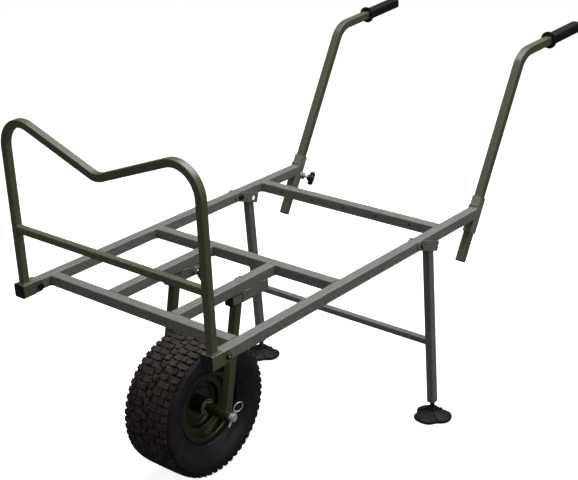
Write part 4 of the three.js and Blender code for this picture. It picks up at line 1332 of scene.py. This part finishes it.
class BARROW_OT_lynch_pin(bpy.types.Operator):
    """Lynch pin through the axle's end, with its pull ring"""

    bl_idname = "barrow.lynch_pin"
    bl_label = "Lynch Pin"

    def execute(self, context):
        tubes, fork = sizes("tubes", "fork")
        finish = "Bright steel"
        x = sleeve_end() + fork.overhang - fork.pin_inset
        place = axle_matrix() @ moved(x) @ spun(fork.pin_lean, "X")
        tail = -fork.axle_radius - fork.pin_tail
        start = fork.axle_radius + tubes.gap
        end = start + fork.pin_head_length
        outline = filleted(
            (
                (0, tail),
                (fork.pin_radius * 0.5, tail),
                (fork.pin_radius, tail + fork.pin_radius),
                (fork.pin_radius, start),
                (fork.pin_head_radius, start),
                (fork.pin_head_radius, end),
                (0, end),
            ),
            SOFT,
            3,
        )
        shape = turned_shape(outline, "Z", 32, closed=False)
        eye = (0, 0, start + fork.pin_head_length / 2)
        sag = fork.ring_radius - math.sqrt(fork.ring_radius**2 - fork.pin_head_radius**2)
        hole = fork.ring_wire + sag + tubes.gap
        shape = drilled(shape, [(eye, (0, 1, 0), hole, fork.pin_head_radius * 3)])
        add_piece("pin", shape, "lynch_pin", finish, "lynch_pin", place)

        rings = []
        for around in turns(64):
            ring = []
            for angle in turns(12):
                reach, x = polar(fork.ring_wire, angle)
                z, y = polar(fork.ring_radius + reach, around)
                ring.append((x, y, fork.ring_radius - z))
            rings.append(ring)
        shape = bmesh.new()
        skin(shape, rings, closed=True)
        leaning = place @ moved(*eye) @ spun(fork.ring_tilt, "Y")
        add_piece("pull_ring", shape, "lynch_ring", finish, "lynch_pin_ring", leaning)
        return {"FINISHED"}


def tyre_profile():
    """The tyre's bare section from its crown down to the rim: width, radius and outward normal
    at even steps, with the length along it."""
    (wheel,) = sizes("wheel")
    crown_rise = wheel.radius - wheel.lug_height - wheel.bulge_radius
    side_drop = wheel.bulge_radius - wheel.rim_radius
    side_depth = wheel.half_width - wheel.seat_half_width
    crown_steps, side_steps, spacing = 120, 60, 0.001
    crown_power, side_power = 1 / 3, 1.5
    points = []
    for step in range(crown_steps + 1):
        x, y = polar(1, QUARTER_TURN * (1 - step / crown_steps))
        rise = crown_rise * y**crown_power
        points.append((wheel.half_width * x**crown_power, wheel.bulge_radius + rise, 0))
    for step in range(1, side_steps + 1):
        x, y = polar(1, QUARTER_TURN * step / side_steps)
        drop = side_drop * y**side_power
        across = wheel.seat_half_width + side_depth * x**side_power
        points.append((across, wheel.bulge_radius - drop, 0))
    points.append((wheel.seat_half_width, wheel.seat_radius, 0))
    evenly = resampled(points, spacing)
    profile = []
    run = 0
    for i, spot in enumerate(evenly):
        behind, ahead = neighbours(evenly, i)
        heading = (ahead - behind).normalized()
        if i:
            run += (spot - behind).length
        profile.append((run, spot.x, spot.y, -heading.y, heading.x))
    return profile


def on_profile(profile, run, height):
    """Width and radius at a length along the section, raised off it by a height."""
    side = 1 if run >= 0 else -1
    run = abs(run)
    last = profile[-1]
    for here, after in zip(profile, profile[1:]):
        if run <= after[0]:
            share = (run - here[0]) / (after[0] - here[0])
            x, r, nx, nr = (a + (b - a) * share for a, b in zip(here[1:], after[1:]))
            return side * (x + nx * height), r + nr * height
    return side * (last[1] + last[3] * height), last[2] + last[4] * height


def round_tyre(x, radius, angle):
    """A point at an angle round the axle, from +Z to +Y."""
    z, y = polar(radius, angle)
    return x, y, z


def tread_block(shape, profile, near, far, centre):
    """One block of the tread, from one length along the section to another, centred on an angle
    round the tyre and bowed at its middle."""
    (wheel,) = sizes("wheel")
    pitch_angle = WHOLE_TURN / wheel.pitches
    half_angle = pitch_angle * wheel.block_fill / 2
    edge = wheel.lug_height / 7
    side = 1 if far > near else -1
    steps = 2 * max(1, round(abs(far - near) / wheel.lug_height / 2))
    rings = []
    for lift, inset in ((-edge, 0), (wheel.lug_height - edge, 0), (wheel.lug_height, edge)):
        lower, upper = [], []
        for step in range(steps + 1):
            share = step / steps
            run = near + side * inset + (far - near - 2 * side * inset) * share
            x, radius = on_profile(profile, run, lift)
            bow = -pitch_angle * wheel.block_bow * (1 - abs(2 * share - 1))
            narrow = max(0, abs(run) - wheel.long_row) / (wheel.tread_edge - wheel.long_row)
            half = half_angle * (1 - (1 - wheel.edge_fill) * narrow) - inset / radius
            lower.append(round_tyre(x, radius, centre + bow - half))
            upper.append(round_tyre(x, radius, centre + bow + half))
        rings.append(lower + upper[::-1])
    top = skin(shape, rings)[-1]
    last = len(top) - 1
    for i in range(steps):
        shape.faces.new((top[i], top[i + 1], top[last - i - 1], top[last - i]))


class BARROW_OT_tyre(bpy.types.Operator):
    """Wide turf tyre with five rows of blocks"""

    bl_idname = "barrow.tyre"
    bl_label = "Tyre"

    def execute(self, context):
        (wheel,) = sizes("wheel")
        place = axle_matrix()
        profile = tyre_profile()
        total = profile[-1][0]
        ridge = wheel.lug_height / 6
        # Rings on the sidewall: how far from the rim, how wide, and how many ridges high
        swells = ((0.011, 0.0022, -4), (0.020, 0.0022, 1), (0.030, 0.0012, 1), (0.034, 0.0012, 1))
        steps = 72
        shape = bmesh.new()
        loops, runs = [], []
        for step in range(-steps, steps + 1):
            run = total * step / steps
            bump = 0
            for middle, spread, height in swells:
                away = (total - abs(run) - middle) / spread
                bump += height * ridge * math.exp(-(away**2))
            x, radius = on_profile(profile, run, bump)
            ring = [round_tyre(x, radius, angle) for angle in turns(wheel.pitches * 4)]
            loops.append(loop_of(shape, ring))
            runs.append(run)
        for first, second, run in zip(loops, loops[1:], runs):
            before = len(shape.faces)
            bridge(shape, first, second)
            shape.faces.ensure_lookup_table()
            for face in shape.faces[before:]:
                face.material_index = 0 if abs(run) < wheel.tread_edge else 1
        add_piece("tyre_case", shape, "wheel", ["Tread rubber", "Sidewall rubber"], "tyre", place)

        # Middle row, and on each side long and short blocks in turn with a shoulder block beyond
        blocks = bmesh.new()
        for i, angle in enumerate(turns(wheel.pitches)):
            centre = angle + wheel.tread_turn
            shift = wheel.centre_shift * (-1) ** i
            low, high = shift - wheel.centre_row, shift + wheel.centre_row
            tread_block(blocks, profile, low, high, centre + math.pi / wheel.pitches)
            for side in (1, -1):
                inner = side * shift + wheel.centre_row + wheel.groove
                outer = wheel.long_row if side * shift > 0 else wheel.short_row
                shoulder = outer + wheel.groove
                tread_block(blocks, profile, side * inner, side * outer, centre)
                tread_block(blocks, profile, side * shoulder, side * wheel.tread_edge, centre)
        add_piece("tyre_tread", blocks, "wheel", "Tread rubber", place=place, sharp=40)
        return {"FINISHED"}


class BARROW_OT_wheel(bpy.types.Operator):
    """Rim, hub, bearings and valve"""

    bl_idname = "barrow.wheel"
    bl_label = "Rim and Hub"

    def execute(self, context):
        wheel, fork, tubes = sizes("wheel", "fork", "tubes")
        place = axle_matrix()
        body, finish, gap = "wheel", "Rim paint", tubes.gap

        # Rim, from the hub out over the dished disc to the lip and back along the bead seat
        wall, disc, face = wheel.rim_wall, wheel.disc_radius, wheel.disc_half
        seat, lip, edge = wheel.seat_radius, wheel.rim_radius, wheel.rim_half_width
        swell, sag, lip_depth, seat_depth = 0.0022, 0.0012, 0.004, 0.0125
        # Steps in from the lip's radius and from the rim's edge
        lip_steps = ((0.0006, 0.0005), (0, 0.0025), (0.002, lip_depth))
        half = [
            (wheel.hub_radius + gap, face),
            (disc * 0.62, face),
            (disc * 0.72, face + swell),
            (disc - wall * 2.4, face + sag),
            (disc - wall * 1.9, face + wall),
            (disc - wall * 1.1, face + wall),
            (disc - wall * 0.9, face + wall / 2),
            (disc - wall / 3, face + wall),
            (disc, edge * 0.52),
            (seat - wall * 1.8, edge * 0.56),
            (seat - wall, edge * 0.96),
            (seat - wall * 0.3, edge - 0.0002),
            *((lip - inward, edge - depth) for inward, depth in lip_steps),
            (seat, edge - lip_depth),
            (seat, edge - seat_depth),
            (disc + wall, face),
        ]
        smooth = filleted(half, wall * 0.6, 3)
        outline = smooth + [(radius, -x) for radius, x in reversed(smooth)]
        add_piece("rim_shell", turned_shape(outline, "X", 128), body, finish, "rim", place)

        end, hub_bore = wheel.hub_half, 0.010
        shoulder = end - wheel.bearing_length - gap
        seat = wheel.bearing_radius + gap
        corners = [(wheel.hub_radius, end), (seat, end), (seat, shoulder), (hub_bore, shoulder)]
        outline = [(radius, -x) for radius, x in reversed(corners)] + corners
        shape = turned_shape(filleted(outline, SOFT, 3), "X", 64)
        add_piece("hub_barrel", shape, body, finish, "hub", place)

        # Bearings: an outer ring, an inner ring and a sunk seal between them
        bore = fork.axle_radius + gap
        band = wheel.bearing_radius - bore
        race, rim = band * 0.42, band * 0.16
        start, sunk = end - wheel.bearing_length, end - 0.0012
        parts = (
            (wheel.bearing_radius - rim, wheel.bearing_radius, end, 0),
            (bore, bore + race, end, 0),
            (bore + race * 0.9, wheel.bearing_radius - rim * 0.9, sunk, 1),
        )
        for label, outboard in SIDES:
            shape = bmesh.new()
            for inner, outer, x, slot in parts:
                outline = filleted(((inner, start), (inner, x), (outer, x), (outer, start)), SMALL, 3)
                turned_shape(outline, "X", 64, True, shape, slot)
            finishes = ["Bright steel", "Black plastic"]
            spot = flipped(place, outboard)
            add_piece(f"race_{label}", shape, body, finishes, f"bearing_{label}", spot)

        # Valve stem with a capped tip, on the right side
        low, high = (Vector(corner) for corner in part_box("valve_stem"))
        reach, radius = wheel.valve_length / 2, wheel.valve_radius
        neck, groove = radius * 0.85, radius * 0.6
        tip, cap, groove_start, groove_end, root = 0.0012, 0.009, 0.0095, 0.0115, 0.0135
        outline = filleted(
            (
                (0, -reach),
                (radius * 0.62, -reach),
                (neck, tip - reach),
                (neck, cap - reach),
                (groove, groove_start - reach),
                (groove, groove_end - reach),
                (radius, root - reach),
                (radius, reach),
                (0, reach),
            ),
            0.0005,
            2,
        )
        shape = turned_shape(outline, "X", 24, closed=False)
        spot = Matrix.Translation((low + high) / 2) @ deck_matrix().to_3x3().to_4x4()
        add_piece("valve", shape, body, "Black rubber", "valve_stem", spot)
        return {"FINISHED"}


class BARROW_OT_handles(bpy.types.Operator):
    """Pull-out handles with their end plugs and grips"""

    bl_idname = "barrow.handles"
    bl_label = "Handles"

    def execute(self, context):
        tubes, handles, deck = sizes("tubes", "handles", "deck")
        side, gap = tubes.light_side, tubes.gap
        z, y = polar(1, QUARTER_TURN - deck.handle_lean - handles.rise)
        back = Vector((0, y, z))
        corner = Vector((0, 0, handles.reach))
        reach = handles.setback + handles.grip_length - handles.end_wall - gap
        corners = ((0, 0, -handles.below), corner, corner + back * reach)
        line = bent_line(corners, (handles.bend,), 28)
        for label, outboard in SIDES:
            place = sleeve_matrix(outboard) @ spun(-outboard * handles.splay, "Z")
            body = f"handle_{label}"
            shape = tube_shape(line, side, tubes.light_wall, (1, 0, 0))
            name = f"handle_tube_{label}"
            add_piece(f"handle_bar_{label}", shape, body, "Load bar paint", name, place, 40)

            head, top = handles.plug_head, -handles.below - gap
            shape = prism_shape(rounded_square(side, side), top - head, top, head / 4)
            name = f"handle_plug_{label}"
            add_piece(f"end_plug_{label}", shape, body, "Black plastic", name, place)

            turned = Vector((0, 0, 1)).rotation_difference(back).to_matrix().to_4x4()
            spot = place @ Matrix.Translation(corner + back * handles.setback) @ turned
            shape = self.grip()
            add_piece(f"hand_grip_{label}", shape, body, "Black rubber", f"grip_{label}", spot, 50)
        return {"FINISHED"}

    def grip(self):
        """Rubber grip: a round flange, a ribbed square body and a closed end."""
        (handles,) = sizes("handles")
        length_all, collar, flange = handles.grip_length, handles.flange, handles.flange_radius
        rounding, neck, lead, end_run, rib_depth = 0.001, 0.0168, 0.002, 0.012, 0.0011
        collar_step, ribs, power = 0.0003, 22, 5
        # Steps back from the closed end, and in from the grip's side
        end_steps = ((0.0035, 0.0), (0.001, 0.0014), (0.0, 0.0036))
        # Places along the grip, with a radius or a change of it, and how round it is
        stations = [
            (0.0, flange - rounding, 1.0),
            (SOFT, flange, 1.0),
            (collar - SOFT, flange, 1.0),
            (collar, flange - rounding, 1.0),
            (collar + collar_step, neck, 0.6),
        ]
        start, end = collar + lead, length_all - end_run
        for i in range(ribs):
            for share, drop in ((0.0, rib_depth), (0.22, rib_depth), (0.34, 0.0), (0.88, 0.0)):
                stations.append((start + (i + share) * (end - start) / ribs, -drop, 0.0))
        stations += [
            (end, 0.0, 0.0),
            *((length_all - back, -inward, 0.0) for back, inward in end_steps),
        ]
        rings = []
        for at, reach, roundness in stations:
            ring = []
            for angle in turns(64):
                across, upward = polar(1, angle)
                across, upward = across / handles.grip_width * 2, upward / handles.grip_height * 2
                square = (abs(across) ** power + abs(upward) ** power) ** (-1 / power)
                distance = square + (reach - square) * roundness if roundness else square + reach
                ring.append((*polar(distance, angle), at))
            rings.append(ring)
        shape = bmesh.new()
        skin(shape, rings, capped=True)
        return shape


class BARROW_OT_knobs(bpy.types.Operator):
    """Star knobs with their studs, on the handle sleeves and fork receivers"""

    bl_idname = "barrow.knobs"
    bl_label = "Clamp Knobs"

    def execute(self, context):
        knobs, tubes = sizes("knobs", "tubes")
        side = tubes.light_side
        for label, outboard in SIDES:
            sleeve, receiver = knob_places(outboard)
            self.knob(f"handle_knob_{label}", sleeve @ moved(corner_reach(side) + knobs.tip_gap))
            self.knob(f"fork_knob_{label}", receiver @ moved(side / 2 + knobs.tip_gap))
        return {"FINISHED"}

    def knob(self, name, place):
        """A domed star head with a recessed middle, on a hub."""
        (knobs,) = sizes("knobs")
        # Twelfths of the thickness, and shares of the radius and of the hollows' depth
        levels = (
            (0.0, 0.30, 0.0),
            (0.0, 0.80, 0.3),
            (0.6, 0.92, 0.7),
            (2.2, 0.99, 1.0),
            (5.5, 1.0, 1.0),
            (8.8, 0.985, 1.0),
            (10.8, 0.93, 0.9),
            (11.8, 0.84, 0.6),
            (12.0, 0.72, 0.2),
            (11.6, 0.52, 0.0),
            (9.6, 0.46, 0.0),
            (9.4, 0.12, 0.0),
        )
        rings = []
        for height, share, depth in levels:
            ring = []
            for angle in turns(knobs.lobes * 16):
                swell = (1 + math.cos(knobs.lobes * angle)) / 2
                hollow = knobs.lobe_depth * (1 - math.sqrt(swell)) * depth
                x = knobs.stud_length + height * knobs.thickness / 12
                ring.append((x, *polar(knobs.radius * share - hollow, angle)))
            rings.append(ring)
        shape = bmesh.new()
        skin(shape, rings, capped=True)
        overlap = 0.001
        base, top = knobs.stud_length - knobs.hub_length, knobs.stud_length + overlap
        hub = (
            (0, base),
            (knobs.hub_radius * 0.86, base),
            (knobs.hub_radius, base + knobs.hub_length * 0.4),
            (knobs.hub_radius * 1.1, top),
            (0, top),
        )
        turned_shape(filleted(hub, SOFT, 3), "X", 40, False, shape)
        add_piece(f"{name}_star", shape, name, "Black plastic", name, place, 45)

        pitch, stop = 0.0013, base + overlap
        outline = [(0, 0), (knobs.stud_radius * 0.7, 0)]
        outline += thread(knobs.stud_radius, 0.84, 0, pitch, int(stop / pitch) - 1, 0.8, 1.3)
        outline += [(knobs.stud_radius * 0.9, stop), (0, stop)]
        shape = turned_shape(outline, "X", 24, closed=False)
        add_piece(f"{name}_stud", shape, name, "Bright steel", place=place, sharp=60)


class BARROW_OT_bolts(bpy.types.Operator):
    """Pivot bolts of the load bar and the legs, with their nuts"""

    bl_idname = "barrow.bolts"
    bl_label = "Pivot Bolts"

    def execute(self, context):
        tubes, bar, legs = sizes("tubes", "load_bar", "legs")
        half = tubes.frame_side / 2 + tubes.gap
        for name, y, cheek in (
            ("load_bar_bolt", bar.pivot, bar.base_wall),
            ("leg_bolt", legs.pivot, legs.cheek),
        ):
            for label, outboard in SIDES:
                place = flipped(rail_matrix(outboard, y), outboard)
                self.bolt(f"{name}_{label}", half + cheek + tubes.gap, place)
        return {"FINISHED"}

    def bolt(self, name, face, place):
        """A domed head with a socket, its shank and its nut."""
        (knobs,) = sizes("knobs")
        head, radius, top = knobs.bolt_head_height, knobs.bolt_head, face + knobs.bolt_head_height
        dome = (
            (0, face),
            (radius, face),
            (radius, face + head * 0.25),
            (radius * 0.86, top - head * 0.18),
            (radius * 0.5, top),
            (radius * 0.42, top),
            (radius * 0.42, top - head * 0.3),
            (0, top - head * 0.3),
        )
        shape = turned_shape(filleted(dome, SMALL, 3), "X", 40, closed=False)
        centre = (
            (0, top - head * 0.3),
            (radius * 0.34, top - head * 0.3),
            (radius * 0.34, top - head * 0.12),
            (radius * 0.24, top),
            (0, top),
        )
        turned_shape(centre, "X", 32, False, shape, 1)
        shank = ((0, face), (knobs.bolt_radius, face), (knobs.bolt_radius, -face), (0, -face))
        turned_shape(shank, "X", 24, False, shape, 1)
        nut = prism_shape(hexagon(knobs.bolt_nut), -face - knobs.bolt_nut_height, -face, SMALL)
        absorb(shape, nut, spun(QUARTER_TURN, "Y"))
        add_piece(f"{name}_set", shape, "frame", ["Black steel", "Bright steel"], name, place)


class BARROW_OT_stage(bpy.types.Operator):
    """Floor, lamps, world and camera"""

    bl_idname = "barrow.stage"
    bl_label = "Stage"

    def execute(self, context):
        (stage,) = sizes("stage")
        self.floor(stage)
        self.world(stage)
        # Each lamp's power, its width and height, and where it stands
        self.lamp("Overhead softbox", stage.overhead, (2.4, 3.0), (0.1, 0.3, 3.0))
        self.lamp("Side softbox", stage.key, (1.6, 2.4), (3.6, 0.2, 1.6))
        self.lamp("Front softbox", stage.fill, (2.4, 1.2), (-0.8, -3.8, 1.8))
        self.camera(stage)
        context.scene.view_settings.view_transform = "Standard"
        return {"FINISHED"}

    def floor(self, stage):
        shape = bmesh.new()
        half = stage.floor / 2
        corners = ((-half, -half, 0), (half, -half, 0), (half, half, 0), (-half, half, 0))
        shape.faces.new(loop_of(shape, corners))
        floor = object_of("floor", shape)
        finish, tree = bare_material("Studio floor")
        pale = node(tree, "BsdfDiffuse", {"Color": (0.1, 0.1, 0.1, 1)}).outputs[0]
        bright = node(tree, "BsdfDiffuse", {"Color": (0.8, 0.8, 0.8, 1)}).outputs[0]
        glow = node(tree, "Emission", {"Strength": stage.glow}).outputs[0]
        white = node(tree, "AddShader", {0: bright, 1: glow}).outputs[0]
        self.seen_as(tree, pale, white, "OutputMaterial")
        floor.data.materials.append(finish)

    def world(self, stage):
        world = bpy.data.worlds.new("Studio")
        bpy.context.scene.world = world
        world.use_nodes = True
        tree = world.node_tree
        tree.nodes.clear()
        soft = node(tree, "Background", {"Strength": stage.sky}).outputs[0]
        white = node(tree, "Background", {"Strength": 1.0}).outputs[0]
        self.seen_as(tree, soft, white, "OutputWorld")

    def seen_as(self, tree, lighting, backdrop, ending):
        """Ends a tree with one shader for the light it gives and one for how it looks."""
        seen = node(tree, "LightPath").outputs["Is Camera Ray"]
        mix = node(tree, "MixShader", {0: seen, 1: lighting, 2: backdrop})
        node(tree, ending, {"Surface": mix.outputs[0]})

    def lamp(self, name, power, size, spot):
        light = bpy.data.lights.new(name, "AREA")
        light.energy = power
        light.shape = "RECTANGLE"
        light.size, light.size_y = size
        lamp = bpy.data.objects.new(name, light)
        lamp.location = spot
        lamp.rotation_mode = "QUATERNION"
        aim = Vector((0, 0.05, 0.3)) - lamp.location
        lamp.rotation_quaternion = aim.to_track_quat("-Z", "Y")
        bpy.context.scene.collection.objects.link(lamp)

    def camera(self, stage):
        view = bpy.data.cameras.new("Camera")
        view.lens = stage.focal
        view.sensor_width = 36
        view.sensor_fit = "HORIZONTAL"
        view.clip_end = 100
        camera = bpy.data.objects.new("Camera", view)
        bpy.context.scene.collection.objects.link(camera)
        a, e = stage.azimuth, stage.elevation
        back = Vector((math.sin(a) * math.cos(e), -math.cos(a) * math.cos(e), math.sin(e)))
        level_right = Vector((math.cos(a), math.sin(a), 0))
        level_up = back.cross(level_right)
        right = level_right * math.cos(stage.roll) + level_up * math.sin(stage.roll)
        upward = level_up * math.cos(stage.roll) - level_right * math.sin(stage.roll)
        basis = Matrix((right, upward, back)).transposed().to_4x4()
        eye = moved(stage.eye_x, stage.eye_y, stage.eye_z)
        camera.matrix_world = deck_matrix() @ eye @ basis
        bpy.context.scene.camera = camera


OPERATORS = (
    BARROW_OT_deck,
    BARROW_OT_load_bar,
    BARROW_OT_legs,
    BARROW_OT_feet,
    BARROW_OT_fork,
    BARROW_OT_lynch_pin,
    BARROW_OT_tyre,
    BARROW_OT_wheel,
    BARROW_OT_handles,
    BARROW_OT_knobs,
    BARROW_OT_bolts,
    BARROW_OT_stage,
)


class BARROW_PT_build(bpy.types.Panel):
    """Sizes, colours and building steps of the barrow"""

    bl_idname = "BARROW_PT_build"
    bl_label = "Fishing Barrow"
    bl_space_type = "VIEW_3D"
    bl_region_type = "UI"
    bl_category = "Barrow"

    def draw(self, context):
        for name, group in GROUPS.items():
            box = self.layout.box()
            box.label(text=name.replace("_", " ").title())
            for key in group.__annotations__:
                box.prop(getattr(context.scene, f"barrow_{name}"), key)
        for operator in OPERATORS:
            self.layout.operator(operator.bl_idname)


CLASSES = (*GROUPS.values(), *OPERATORS, BARROW_PT_build)


def register():
    for made in CLASSES:
        bpy.utils.register_class(made)
    for name, group in GROUPS.items():
        setattr(bpy.types.Scene, f"barrow_{name}", bpy.props.PointerProperty(type=group))


def unregister():
    for name in GROUPS:
        delattr(bpy.types.Scene, f"barrow_{name}")
    for made in reversed(CLASSES):
        bpy.utils.unregister_class(made)


def main():
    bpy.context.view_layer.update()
    register()
    for operator in OPERATORS:
        family, step = operator.bl_idname.split(".")
        getattr(getattr(bpy.ops, family), step)()
    bpy.context.view_layer.update()


if __name__ == "__main__":
    main()
